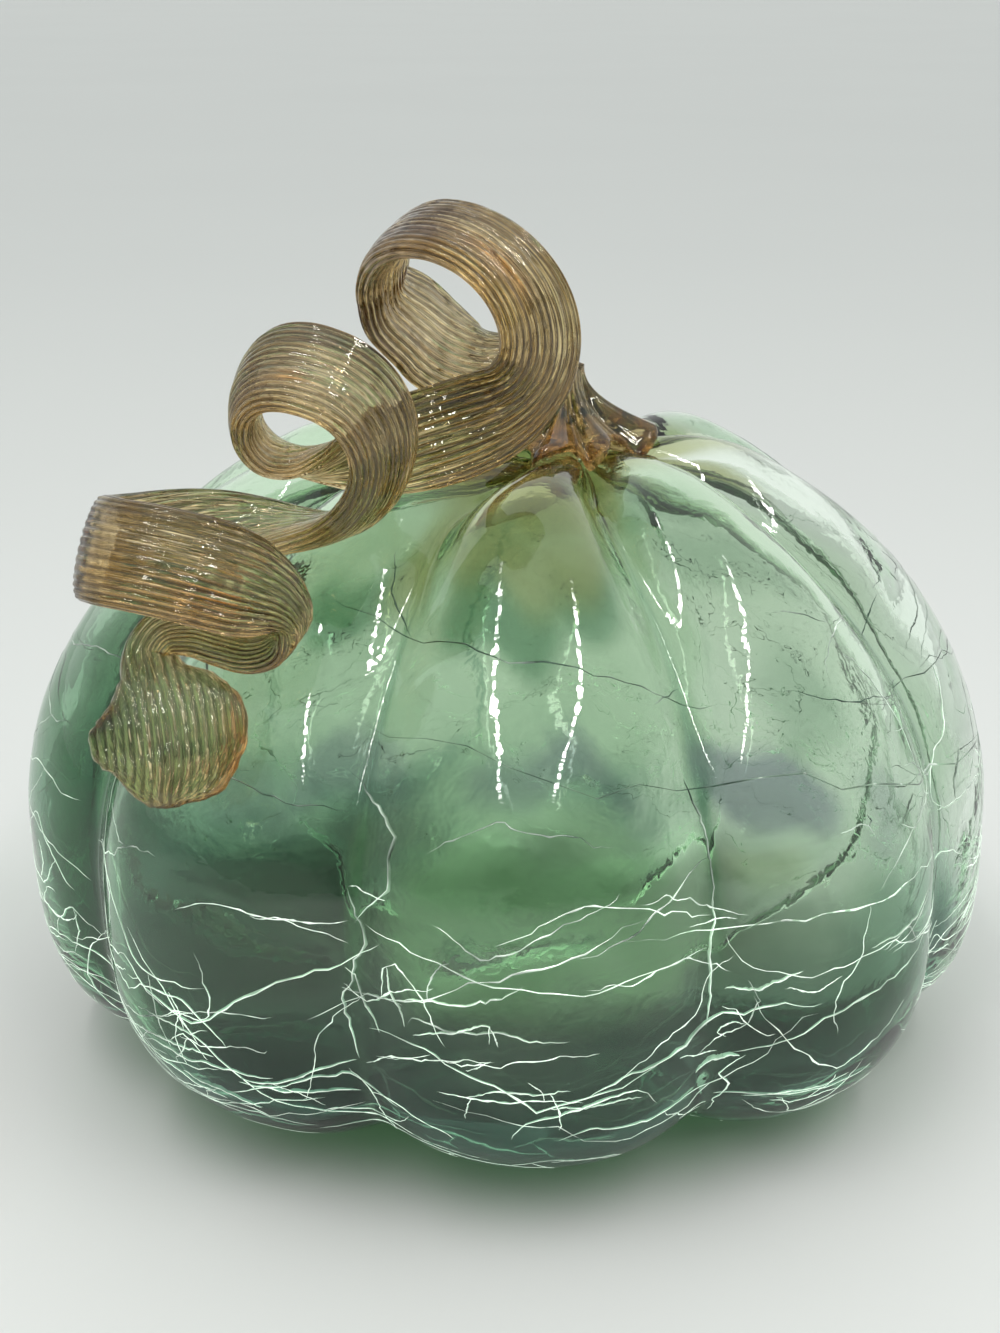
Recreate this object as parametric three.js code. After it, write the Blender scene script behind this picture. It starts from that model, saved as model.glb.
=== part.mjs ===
// Blown glass pumpkin: a thin lobed shell with an open neck, and a ribbed glass stem curled over it.
// Millimetres, +Z up, the underside of the shell on z = 0. The front of the object faces -Y.

import * as THREE from "three";

// Shell of the body
const BODY_RADIUS = 95;
const WIDEST_LEVEL = 48.6;
const UPPER_HEIGHT = 79.5;
const LOWER_HEIGHT = 49.4;
const UPPER_FULLNESS = 2.0;
const LOWER_FULLNESS = 3.7;
const WALL = 3.2;
const BODY_CENTRE_X = 0.6;
const BODY_CENTRE_Y = -0.9;

// Lobes pressed in by the ribbed mould
const LOBES = 9;
const LOBE_TURN = THREE.MathUtils.degToRad(3.6);
const GROOVE_AT_WIDEST = 6.2;
const GROOVE_AT_TOP = 8.0;
const GROOVE_AT_BASE = 5.2;
const GROOVE_SHARPNESS = 2.7;
const GROOVE_SOFTNESS = 0.1;
const GROOVE_FADE_TOP = 33;
const GROOVE_FADE_BASE = [30, 60];

// Sunken top, hollowed underside, and the lean of the hand-made shape
const DIMPLE_DEPTH = 9;
const DIMPLE_RADIUS = 48;
const KICK_HEIGHT = 5;
const KICK_RADIUS = 27;
const NECK_RADIUS = 9;
const NECK_SHIFT = 9.5;
const LEAN_SPAN = 70;
const LEAN_SLOPE = -1.3;
const LEAN_CURVE = 2.8;

// Grid of the shell
const POINTS_PER_LOBE = 8;
const OUTER_UPPER_ROWS = 12;
const OUTER_LOWER_ROWS = 12;
const INNER_UPPER_ROWS = 9;
const INNER_LOWER_ROWS = 9;
const BASE_ROW_EASING = 1.7;

// Section of the ribbed stem
const RIBS_AROUND = 20;
const POINTS_PER_RIB = 2;
const RIB_HEIGHT = 0.42;
const STRAP_HALF_WIDTH = 8.8;
const STRAP_HALF_THICKNESS = 2.4;
const FACE_FLATNESS = 0.75;
const STEM_STEP = 4.4;
const PADDLE_ROUNDING = 14;
const PADDLE_STEP = 1.6;
const PATH_DIVISIONS = 2000;

// Foot of the stem, seated round the neck
const PLUG_CLEARANCE = 0.4;
const PLUG_DEPTH = 2.4;
const PLUG_CHAMFER = 0.8;
const SEAT_CLEARANCE = 0.75;
const FOOT_RADIUS = 12;
const FOOT_EDGE = 1.5;
const FOOT_FLARE = 2.4;
const FOOT_EDGE_SLOPE = 0.03;
const FLARE_LEVELS = [0.14, 0.32, 0.54, 0.78];

// Toes of the foot: direction in degrees from the front toward +X, reach and half angle
const TOES = [
  { direction: 76, reach: 21.5, spread: 24 },
  { direction: 30, reach: 19, spread: 13 },
  { direction: -4, reach: 22, spread: 13 },
  { direction: -50, reach: 18, spread: 17 },
  { direction: -108, reach: 17, spread: 19 },
  { direction: -165, reach: 18, spread: 19 },
  { direction: 132, reach: 17, spread: 19 },
];

// Column of the stem between its foot and the first loop, from the bottom up, placed from the
// middle of the neck
const COLUMN_POINTS = [
  { fromNeck: [-0.4, -0.1, 7.7], across: [0.69, 0.72, 0], half: [8.2, 7.4] },
  { fromNeck: [-4.1, 0.7, 10.2], across: [0.6, 0.78, 0.12], half: [8, 6] },
  { fromNeck: [-9.4, 0.3, 13], across: [0.5, 0.84, 0.18], half: [8.8, 4.4] },
  { fromNeck: [-15.8, -1.9, 14.7], across: [0.5, 0.84, 0.2], half: [10.2, 3.2] },
  { fromNeck: [-22.1, -5.4, 18.4], across: [0.5, 0.84, 0.22], half: [11, 2.6] },
  { fromNeck: [-27.3, -9.7, 23.4], across: [0.45, 0.86, 0.24], half: [10.6, 2.4] },
];

// Coil of the stem, one row each quarter turn: middle of the turn, its radius, the heading and the
// rise of its axis in degrees, and the tilt of the strap on it. Headings turn from +Y toward +X.
// A place over the shell is its azimuth from the front toward +X and its level up from the widest
// height, both in degrees, and its height over the glass.
const COIL_QUARTERS = [
  { middle: [-26, 76, 27], radius: 19.2, heading: 32, rise: 12, tilt: 10 },
  { middle: [-16.5, 70, 25.5], radius: 17.4, heading: 24, rise: 11, tilt: 8 },
  { middle: [-15.5, 68.5, 23.5], radius: 14.3, heading: 22, rise: 10, tilt: 28 },
  { middle: [-21, 64.3, 24.3], radius: 12.9, heading: 13, rise: 6, tilt: 88 },
  { middle: [-25, 56, 21], radius: 16.8, heading: 10, rise: 20, tilt: 20 },
  { middle: [-31.5, 55.5, 22], radius: 15.6, heading: 14, rise: 32, tilt: 6 },
  { middle: [-33.5, 53.5, 23.5], radius: 17.6, heading: 18, rise: 31, tilt: 14 },
  { middle: [-34, 49.5, 23], radius: 16, heading: 36, rise: 46, tilt: 42 },
  { middle: [-36.5, 43.5, 14.5], radius: 16.5, heading: 42, rise: 66, tilt: 12 },
  { middle: [-42, 40, 10], radius: 19.8, heading: 38, rise: 56, tilt: 6 },
];
const COIL_FIRST_TURN = -90;
const COIL_STEPS_PER_QUARTER = 5;

// Tail of the stem: it rounds the last loop, passes under it, bends down and widens into the paddle
const TAIL_POINTS = [
  { over: [-38.2, 39.3, 28.3], across: [0.34, 0.39, 0.86], half: [8.8, 2.4] },
  { over: [-34.8, 39.9, 24.9], across: [0.4, 0.42, 0.82], half: [8.8, 2.4] },
  { over: [-32, 40.5, 20.5], across: [0.45, 0.46, 0.77], half: [8.8, 2.4] },
  { over: [-29.8, 40.9, 15.8], across: [0.45, 0.62, 0.65], half: [8.2, 2.4] },
  { over: [-27.8, 40.7, 11.7], across: [0.42, 0.78, 0.46], half: [6.8, 2.4] },
  { over: [-26.7, 39.6, 8.8], across: [0.36, 0.88, 0.3], half: [5.6, 2.4] },
  { over: [-27.6, 37.7, 7.6], across: [0.3, 0.9, 0.3], half: [5, 2.3] },
  { over: [-30.1, 36.4, 8.6], across: [0.22, 0.8, 0.52], half: [4.6, 2.3] },
  { over: [-33.3, 36.3, 10.4], across: [0.1, 0.75, 0.66], half: [4.5, 2.3] },
  { over: [-36.7, 36.3, 12.5], across: [-0.05, 0.62, 0.78], half: [4.3, 2.3] },
  { over: [-39.7, 35.4, 13.6], across: [-0.3, 0.35, 0.85], half: [3.9, 2.4] },
  { over: [-41, 33.1, 13.3], across: [-0.85, 0.12, 0.45], half: [3.9, 2.5] },
  { over: [-39.4, 30.9, 12], across: [-1, 0, 0.08], half: [6, 2.7] },
  { over: [-37.7, 29, 10.9], across: [-1, 0, -0.02], half: [10.6, 2.8] },
  { over: [-36.5, 27, 9.8], across: [-1, 0, -0.06], half: [13.2, 2.9] },
  { over: [-35.5, 24.4, 8.8], across: [-1, 0, -0.06], half: [12.6, 2.9] },
  { over: [-34.7, 22, 8.5], across: [-1, 0, 0], half: [10.2, 2.7] },
  { over: [-34.4, 20.3, 8.6], across: [-1, 0, 0], half: [7.4, 2.4] },
  { over: [-34.2, 19.3, 8.7], across: [-1, 0, 0], half: [4.6, 1.9] },
  { over: [-34, 18.8, 8.8], across: [-1, 0, 0], half: [2.4, 1.4] },
];
const PADDLE_TIP = [-34, 18.5, 8.8];

// Glass colours of the two pieces
const GREEN_GLASS = 0x6fa884;
const AMBER_GLASS = 0x9a6c2c;
const GLASS_ROUGHNESS = 0.08;
const GLASS_OPACITY = 0.5;

const FULL_TURN = 2 * Math.PI;
const RIGHT_ANGLE = Math.PI / 2;
const UP = new THREE.Vector3(0, 0, 1);
const SECTION_POINTS = RIBS_AROUND * POINTS_PER_RIB;
const degToRad = THREE.MathUtils.degToRad;

// Groove between two lobes: 0 on a crest and 1 on a groove, with a softened bottom.
function grooveShape(azimuth) {
  const pitch = FULL_TURN / LOBES;
  const share = THREE.MathUtils.euclideanModulo((azimuth - LOBE_TURN) / pitch + 0.5, 1);
  const fromGroove = 1 - Math.abs(2 * share - 1);
  const across = 1 - Math.hypot(fromGroove, GROOVE_SOFTNESS) + GROOVE_SOFTNESS;
  return Math.max(across, 0) ** GROOVE_SHARPNESS;
}

// Depth of the grooves at a height share (0 widest, 1 top or base) and a distance from the axis.
function grooveDepth(isUpper, heightShare, radius) {
  const atEnd = isUpper ? GROOVE_AT_TOP : GROOVE_AT_BASE;
  const depth = THREE.MathUtils.lerp(GROOVE_AT_WIDEST, atEnd, heightShare ** 3);
  const fade = isUpper
    ? Math.min(radius / GROOVE_FADE_TOP, 1)
    : THREE.MathUtils.smoothstep(radius, ...GROOVE_FADE_BASE);
  return depth * fade;
}

// A soft bump of height 1 on the axis that ends at the given radius.
function centreBump(radius, endRadius) {
  return radius < endRadius ? (1 - (radius / endRadius) ** 2) ** 2 : 0;
}

// Sideways drift of the hand-made shape at one height.
function leanAt(z, radius, isUpper) {
  const height = (z - WIDEST_LEVEL) / LEAN_SPAN;
  const neck = isUpper ? NECK_SHIFT * centreBump(radius, DIMPLE_RADIUS) : 0;
  return LEAN_SLOPE * height + LEAN_CURVE * height * height + neck;
}

// Level angle of the upper shell (0 widest, a right angle on the axis) at a distance from the axis.
function levelAngle(radius, inset) {
  return Math.acos((radius / (BODY_RADIUS - inset)) ** (UPPER_FULLNESS / 2));
}

// One point of the shell. The azimuth turns from the front toward +X, inset moves the point into the
// glass, and grooved 0 leaves the grooves out.
function shellPoint(azimuth, isUpper, angle, inset, grooved = 1) {
  const fullness = isUpper ? UPPER_FULLNESS : LOWER_FULLNESS;
  const height = (isUpper ? UPPER_HEIGHT : LOWER_HEIGHT) - inset;
  const widest = BODY_RADIUS - inset;
  const side = isUpper ? 1 : -1;
  const sine = Math.sin(angle);
  const radius = widest * Math.max(Math.cos(angle), 0) ** (2 / fullness);
  const rise = sine ** (2 / fullness);
  const slope = new THREE.Vector2(
    (radius / widest) ** (fullness - 1) / widest,
    (side * rise ** (fullness - 1)) / height,
  ).normalize();
  const groove = grooved * grooveShape(azimuth) * grooveDepth(isUpper, sine, radius);
  const radial = radius - groove * slope.x;
  let z = WIDEST_LEVEL + side * height * rise - groove * slope.y;
  if (isUpper) z -= DIMPLE_DEPTH * centreBump(radius, DIMPLE_RADIUS);
  else z = Math.max(z, Math.max(inset, 0)) + KICK_HEIGHT * centreBump(radius, KICK_RADIUS);
  const x = leanAt(z, radius, isUpper) + radial * Math.sin(azimuth) - BODY_CENTRE_X;
  const y = -radial * Math.cos(azimuth) - BODY_CENTRE_Y;
  return new THREE.Vector3(x, y, z);
}

// Middle of a ring of points.
function ringMiddle(ring) {
  const sum = ring.reduce((total, point) => total.add(point), new THREE.Vector3());
  return sum.divideScalar(ring.length);
}

// A place over the smooth upper shell: azimuth and level in degrees, and height over the glass.
function placeOver([azimuth, level, height]) {
  return shellPoint(degToRad(azimuth), true, degToRad(level), -height, 0);
}

// Middle of the open neck.
function neckMiddle() {
  const rim = [0, Math.PI].map((azimuth) =>
    shellPoint(azimuth, true, levelAngle(NECK_RADIUS, 0), 0, 0),
  );
  return ringMiddle(rim);
}

// A full ring of shell points at one level.
function shellRing(isUpper, angle, inset) {
  const count = LOBES * POINTS_PER_LOBE;
  return Array.from({ length: count }, (_, i) =>
    shellPoint(LOBE_TURN + (FULL_TURN * i) / count, isUpper, angle, inset),
  );
}

// Rings of one surface of the shell, from the neck down to just above the middle of the base.
function shellSurface(inset, upperRows, lowerRows) {
  const neck = levelAngle(NECK_RADIUS, inset);
  const rings = [];
  for (let i = 0; i < upperRows; i += 1) {
    rings.push(shellRing(true, neck * (1 - i / upperRows), inset));
  }
  for (let i = 0; i < lowerRows; i += 1) {
    const share = 1 - (1 - i / lowerRows) ** BASE_ROW_EASING;
    rings.push(shellRing(false, RIGHT_ANGLE * share, inset));
  }
  return rings;
}

// A closed surface from equal rings, with one pole before the first ring and one after the last.
function closedSurface(firstPole, rings, lastPole) {
  const count = rings[0].length;
  const points = [firstPole, ...rings.flat(), lastPole];
  const last = points.length - 1;
  const at = (ring, i) => 1 + ring * count + (i % count);
  const faces = [];
  for (let i = 0; i < count; i += 1) {
    faces.push(0, at(0, i + 1), at(0, i));
    for (let ring = 0; ring < rings.length - 1; ring += 1) {
      faces.push(at(ring, i), at(ring, i + 1), at(ring + 1, i + 1));
      faces.push(at(ring, i), at(ring + 1, i + 1), at(ring + 1, i));
    }
    faces.push(last, at(rings.length - 1, i), at(rings.length - 1, i + 1));
  }
  const geometry = new THREE.BufferGeometry().setFromPoints(points);
  geometry.setIndex(faces);
  geometry.computeVertexNormals();
  return geometry;
}

// The blown shell: outer surface, open neck and inner surface in one closed body.
function pumpkinBody() {
  const outer = shellSurface(0, OUTER_UPPER_ROWS, OUTER_LOWER_ROWS);
  const inner = shellSurface(WALL, INNER_UPPER_ROWS, INNER_LOWER_ROWS);
  const outerPole = shellPoint(0, false, RIGHT_ANGLE, 0);
  const innerPole = shellPoint(0, false, RIGHT_ANGLE, WALL);
  return closedSurface(outerPole, [...outer.reverse(), ...inner], innerPole);
}

// Value of a quantity between quarter turns, on a smooth curve through the values of the rows.
function alongCoil(position, values) {
  const last = values.length - 1;
  const start = Math.min(Math.floor(position), last - 1);
  const t = position - start;
  const row = (i) => values[THREE.MathUtils.clamp(i, 0, last)];
  const [a, b, c, d] = [-1, 0, 1, 2].map((step) => row(start + step));
  const bend = 2 * a - 5 * b + 4 * c - d;
  const twist = 3 * (b - c) + d - a;
  return b + 0.5 * t * (c - a + t * (bend + t * twist));
}

// Centre and width direction of the strap on the coil, at a position counted in quarter turns.
function coilStation(position) {
  const value = (name) => alongCoil(position, COIL_QUARTERS.map((row) => row[name]));
  const middles = COIL_QUARTERS.map((row) => placeOver(row.middle));
  const middle = new THREE.Vector3(
    ...["x", "y", "z"].map((name) => alongCoil(position, middles.map((point) => point[name]))),
  );
  const heading = degToRad(value("heading"));
  const rise = degToRad(value("rise"));
  const tilt = degToRad(value("tilt"));
  const axis = UP.clone().multiplyScalar(Math.sin(rise));
  axis.x = Math.sin(heading) * Math.cos(rise);
  axis.y = Math.cos(heading) * Math.cos(rise);
  const top = UP.clone().addScaledVector(axis, -axis.z).normalize();
  const side = axis.clone().cross(top);
  const turn = degToRad(COIL_FIRST_TURN) + position * RIGHT_ANGLE;
  const outward = top.multiplyScalar(Math.cos(turn)).addScaledVector(side, Math.sin(turn));
  return {
    at: middle.addScaledVector(outward, value("radius")),
    across: axis.multiplyScalar(Math.cos(tilt)).addScaledVector(outward, Math.sin(tilt)),
    half: [STRAP_HALF_WIDTH, STRAP_HALF_THICKNESS],
  };
}

// All stations of the stem in order: column, coil and tail.
function stemStations() {
  const neck = neckMiddle();
  const placed = (at, { across, half }) => ({ at, across: new THREE.Vector3(...across), half });
  const column = COLUMN_POINTS.map((row) =>
    placed(new THREE.Vector3(...row.fromNeck).add(neck), row),
  );
  const steps = (COIL_QUARTERS.length - 1) * COIL_STEPS_PER_QUARTER;
  const coil = Array.from({ length: steps + 1 }, (_, i) => coilStation(i / COIL_STEPS_PER_QUARTER));
  const tail = TAIL_POINTS.map((row) => placed(placeOver(row.over), row));
  return [...column, ...coil, ...tail];
}

// One ring of the ribbed section, flat on its two faces, at a place with the given directions.
function ribbedRing(centre, across, through, halfWidth, halfThickness) {
  const ribHeight = RIB_HEIGHT * Math.min(halfThickness / STRAP_HALF_THICKNESS, 1);
  return Array.from({ length: SECTION_POINTS }, (_, i) => {
    const angle = (FULL_TURN * i) / SECTION_POINTS;
    const cosine = Math.cos(angle);
    const sine = Math.sin(angle);
    const out = new THREE.Vector2(cosine / halfWidth, sine / halfThickness).normalize();
    const rib = ribHeight * Math.cos(RIBS_AROUND * angle);
    const x = halfWidth * cosine + rib * out.x;
    const y = halfThickness * Math.sign(sine) * Math.abs(sine) ** FACE_FLATNESS + rib * out.y;
    return centre.clone().addScaledVector(across, x).addScaledVector(through, y);
  });
}

// Places of the rings as shares of the length: even steps, and finer ones where the paddle is rounded.
function ringPlaces(length) {
  const evenSteps = Math.round((length - PADDLE_ROUNDING) / STEM_STEP);
  const fineSteps = Math.round(PADDLE_ROUNDING / PADDLE_STEP);
  const turnover = 1 - PADDLE_ROUNDING / length;
  const even = Array.from({ length: evenSteps }, (_, i) => (turnover * i) / evenSteps);
  const fine = Array.from({ length: fineSteps + 1 }, (_, i) =>
    THREE.MathUtils.lerp(turnover, 1, i / fineSteps),
  );
  return [...even, ...fine];
}

// Rings of the strap, swept along smooth curves through the stations.
function strapRings() {
  const stations = stemStations();
  const path = new THREE.CatmullRomCurve3(stations.map((s) => s.at));
  const widths = new THREE.CatmullRomCurve3(stations.map((s) => s.across), false, "catmullrom");
  const halves = new THREE.CatmullRomCurve3(
    stations.map((s) => new THREE.Vector3(s.half[0], s.half[1], 0)),
    false,
    "catmullrom",
  );
  path.arcLengthDivisions = PATH_DIVISIONS;
  return ringPlaces(path.getLength()).map((place) => {
    const share = path.getUtoTmapping(place);
    const tangent = path.getTangent(share);
    const across = widths.getPoint(share);
    across.addScaledVector(tangent, -across.dot(tangent)).normalize();
    const through = tangent.clone().cross(across);
    const half = halves.getPoint(share);
    return ribbedRing(path.getPoint(share), across, through, half.x, half.y);
  });
}

// Reach of the foot from the neck axis at an azimuth: a round seat with toes drawn out of it.
function footReach(azimuth) {
  return TOES.reduce((reach, toe) => {
    const turn = degToRad(toe.direction) - azimuth;
    const away = Math.atan2(Math.sin(turn), Math.cos(turn));
    const share = Math.exp(-((away / degToRad(toe.spread)) ** 2));
    return Math.max(reach, FOOT_RADIUS + (toe.reach - FOOT_RADIUS) * share);
  }, FOOT_RADIUS);
}

// Azimuth on the shell of each point of the ribbed section while the stem stands upright.
function footAzimuths() {
  const [x, y] = COLUMN_POINTS[0].across;
  const first = Math.atan2(y, x) + RIGHT_ANGLE;
  return Array.from({ length: SECTION_POINTS }, (_, i) => first + (FULL_TURN * i) / SECTION_POINTS);
}

// Rings of the plug in the neck, the underside of the foot, its edge, and the flare up to the column.
function footRings(columnRing) {
  const azimuths = footAzimuths();
  const seat = (azimuth, radius) =>
    shellPoint(azimuth, true, levelAngle(radius, -SEAT_CLEARANCE), -SEAT_CLEARANCE);
  const plugRadius = NECK_RADIUS - PLUG_CLEARANCE;
  const plug = azimuths.map((azimuth) => seat(azimuth, plugRadius));
  const plugMiddle = ringMiddle(plug);
  const lowered = (point, drop, shrink) => {
    const moved = point.clone().lerp(plugMiddle, shrink / plugRadius);
    return moved.setZ(plugMiddle.z - drop);
  };
  const rim = azimuths.map((azimuth) => seat(azimuth, footReach(azimuth)));
  const middle = azimuths.map((azimuth) => seat(azimuth, (plugRadius + footReach(azimuth)) / 2));
  const edge = rim.map((point, i) =>
    point.clone().lerp(columnRing[i], FOOT_EDGE_SLOPE).addScaledVector(UP, FOOT_EDGE),
  );
  const flare = FLARE_LEVELS.map((share) =>
    edge.map((point, i) => {
      const target = columnRing[i];
      const inward = 1 - (1 - share) ** FOOT_FLARE;
      const moved = point.clone().lerp(target, inward);
      return moved.setZ(THREE.MathUtils.lerp(point.z, target.z, share));
    }),
  );
  return {
    pole: plugMiddle.clone().setZ(plugMiddle.z - PLUG_DEPTH),
    rings: [
      plug.map((point) => lowered(point, PLUG_DEPTH, PLUG_CHAMFER)),
      plug.map((point) => lowered(point, PLUG_DEPTH - PLUG_CHAMFER, 0)),
      plug,
      middle,
      rim,
      edge,
      ...flare,
    ],
  };
}

// The stem: plug, toed foot, column, three loops and the paddle, in one closed body.
function curledStem() {
  const strap = strapRings();
  const foot = footRings(strap[0]);
  return closedSurface(foot.pole, [...foot.rings, ...strap], placeOver(PADDLE_TIP));
}

// A named mesh with its own glass.
function piece(name, geometry, color) {
  const material = new THREE.MeshStandardMaterial({ color, roughness: GLASS_ROUGHNESS });
  material.transparent = true;
  material.opacity = GLASS_OPACITY;
  const mesh = new THREE.Mesh(geometry, material);
  mesh.name = name;
  return mesh;
}

const pumpkin = new THREE.Group();
pumpkin.name = "glass_pumpkin";
pumpkin.add(piece("pumpkin_body", pumpkinBody(), GREEN_GLASS));
pumpkin.add(piece("curled_stem", curledStem(), AMBER_GLASS));

export default pumpkin;
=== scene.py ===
"""Looks of the blown glass pumpkin: a lobed crackle glass shell under a ribbed, curled glass stem.

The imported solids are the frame. Sizes are millimetres until a mesh is made, and then metres.
"""

from __future__ import annotations

import logging
from dataclasses import dataclass
from enum import Enum
from functools import cached_property
from math import pi, radians

import bpy
import numpy as np
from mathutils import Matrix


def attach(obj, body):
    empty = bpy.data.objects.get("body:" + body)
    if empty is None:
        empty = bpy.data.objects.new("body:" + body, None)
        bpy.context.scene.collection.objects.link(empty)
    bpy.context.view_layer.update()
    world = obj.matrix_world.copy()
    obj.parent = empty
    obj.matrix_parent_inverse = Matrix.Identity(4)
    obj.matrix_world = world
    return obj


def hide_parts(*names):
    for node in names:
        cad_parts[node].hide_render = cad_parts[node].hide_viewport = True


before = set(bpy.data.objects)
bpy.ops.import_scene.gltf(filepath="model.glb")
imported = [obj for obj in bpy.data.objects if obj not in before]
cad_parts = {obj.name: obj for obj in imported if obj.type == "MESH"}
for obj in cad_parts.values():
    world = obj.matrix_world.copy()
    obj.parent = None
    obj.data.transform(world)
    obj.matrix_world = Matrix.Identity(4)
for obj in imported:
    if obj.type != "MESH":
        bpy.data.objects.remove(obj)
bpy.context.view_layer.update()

LOG = logging.getLogger("glass_pumpkin")
MM = 0.001
FULL_TURN = 2 * pi
RIGHT_ANGLE = pi / 2
Array = np.ndarray
Random = np.random.Generator
Colour = tuple[float, float, float, float]
Socket = bpy.types.NodeSocket
Group = bpy.types.NodeTree
Material = bpy.types.Material
Piece = bpy.types.Object


class Skin(Enum):
    """Which surface of the shell a point lies on, as the start of its ripple pattern."""

    OUTER = 0.4
    INNER = 2.3


# ---- arrays and meshes


def unit(vectors: Array) -> Array:
    """Vectors on the last axis, divided by their lengths."""
    return vectors / np.maximum(np.linalg.norm(vectors, axis=-1, keepdims=True), 1e-12)


def soft_step(value: Array) -> Array:
    """A step that is 0 below 0 and 1 above 1, with level ends."""
    share = np.clip(value, 0, 1)
    return share * share * (3 - 2 * share)


def distances(points: Array) -> Array:
    """Distance of each point from the first one, along the line through all of them."""
    return np.concatenate([[0], np.cumsum(np.linalg.norm(np.diff(points, axis=0), axis=1))])


def azimuths_of(points: Array) -> Array:
    """Degrees from the front toward +X at which points stand round the axis."""
    return np.degrees(np.arctan2(points[:, 0], -points[:, 1]))


def tube_faces(rings: int, around: int) -> tuple[Array, Array]:
    """Faces of a closed tube: quads between equal rings, and a fan round the pole at each end.

    Point 0 is the first pole, then come the rings in order, and the last point is the other pole.

    Args:
        rings: number of rings.
        around: points on each ring.

    Returns:
        The quads and the triangles, as rows of point numbers.
    """
    ring, step = np.meshgrid(np.arange(rings - 1), np.arange(around), indexing="ij")
    after = (step + 1) % around
    low, high = 1 + ring * around, 1 + (ring + 1) * around
    quads = np.stack([low + step, low + after, high + after, high + step], -1).reshape(-1, 4)
    step = np.arange(around)
    after = (step + 1) % around
    last = 1 + (rings - 1) * around
    first_fan = np.stack([np.zeros_like(step), 1 + after, 1 + step], -1)
    last_fan = np.stack([np.full_like(step, 1 + rings * around), last + step, last + after], -1)
    return quads, np.concatenate([first_fan, last_fan])


def tube_points(first_pole: Array, rings: Array, last_pole: Array) -> Array:
    """Points of a closed tube, from its poles and rings, in the order of tube_faces."""
    return np.concatenate([first_pole[None], rings.reshape(-1, rings.shape[-1]), last_pole[None]])


def link_object(name: str, data: bpy.types.ID) -> Piece:
    """Makes an object of a mesh, a light or a camera and links it to the scene.

    Args:
        name: name of the object.
        data: its mesh, light or camera.

    Returns:
        The object, at the origin.
    """
    made = bpy.data.objects.new(name, data)
    bpy.context.scene.collection.objects.link(made)
    return made


def make_object(name: str, points_mm: Array, faces: list[Array]) -> Piece:
    """Makes a smooth mesh object from points in millimetres.

    Args:
        name: name of the piece.
        points_mm: rows of points.
        faces: arrays of faces, each with as many columns as its faces have corners.

    Returns:
        The object, at the origin.
    """
    mesh = bpy.data.meshes.new(name)
    rows = [row for part in faces for row in part.tolist()]
    mesh.from_pydata((points_mm * MM).tolist(), [], rows)
    mesh.polygons.foreach_set("use_smooth", np.ones(len(mesh.polygons), bool))
    mesh.update()
    return link_object(name, mesh)


def add_attribute(piece: Piece, name: str, values: Array) -> None:
    """Stores one value or vector for each point of a piece.

    Args:
        piece: the object.
        name: name that the material reads.
        values: one number or three numbers for each point.
    """
    kind, key = ("FLOAT_VECTOR", "vector") if values.ndim == 2 else ("FLOAT", "value")
    attribute = piece.data.attributes.new(name, kind, "POINT")
    attribute.data.foreach_set(key, values.astype(np.float32).ravel())


def catmull_rom(points: Array, places: Array, power: float) -> Array:
    """A smooth curve through points, by cubic pieces whose end slopes come from the neighbours.

    The knot spacing of each piece is the distance between its points raised to the given power:
    0.5 keeps a path free of overshoot, and 0 gives even spacing.

    Args:
        points: rows of points that the curve passes through.
        places: places along the curve, where 1 is the step from one point to the next.
        power: power of the knot spacing.

    Returns:
        One row for each place.
    """
    padded = np.concatenate([2 * points[:1] - points[1:2], points, 2 * points[-1:] - points[-2:-1]])
    start = np.clip(places.astype(int), 0, len(points) - 2)
    share = (places - start)[:, None]
    p0, p1, p2, p3 = (padded[start + k] for k in range(4))
    steps = (p1 - p0, p2 - p1, p3 - p2)
    gaps = [np.linalg.norm(step, axis=1, keepdims=True) ** power for step in steps]
    d0, d1, d2 = (np.maximum(gap, 1e-6) for gap in gaps)
    slope1 = d1 * ((p1 - p0) / d0 - (p2 - p0) / (d0 + d1) + (p2 - p1) / d1)
    slope2 = d1 * ((p2 - p1) / d1 - (p3 - p1) / (d1 + d2) + (p3 - p2) / d2)
    square = -3 * p1 + 3 * p2 - 2 * slope1 - slope2
    cube = 2 * p1 - 2 * p2 + slope1 + slope2
    return p1 + share * (slope1 + share * (square + share * cube))


# ---- node trees


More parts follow.
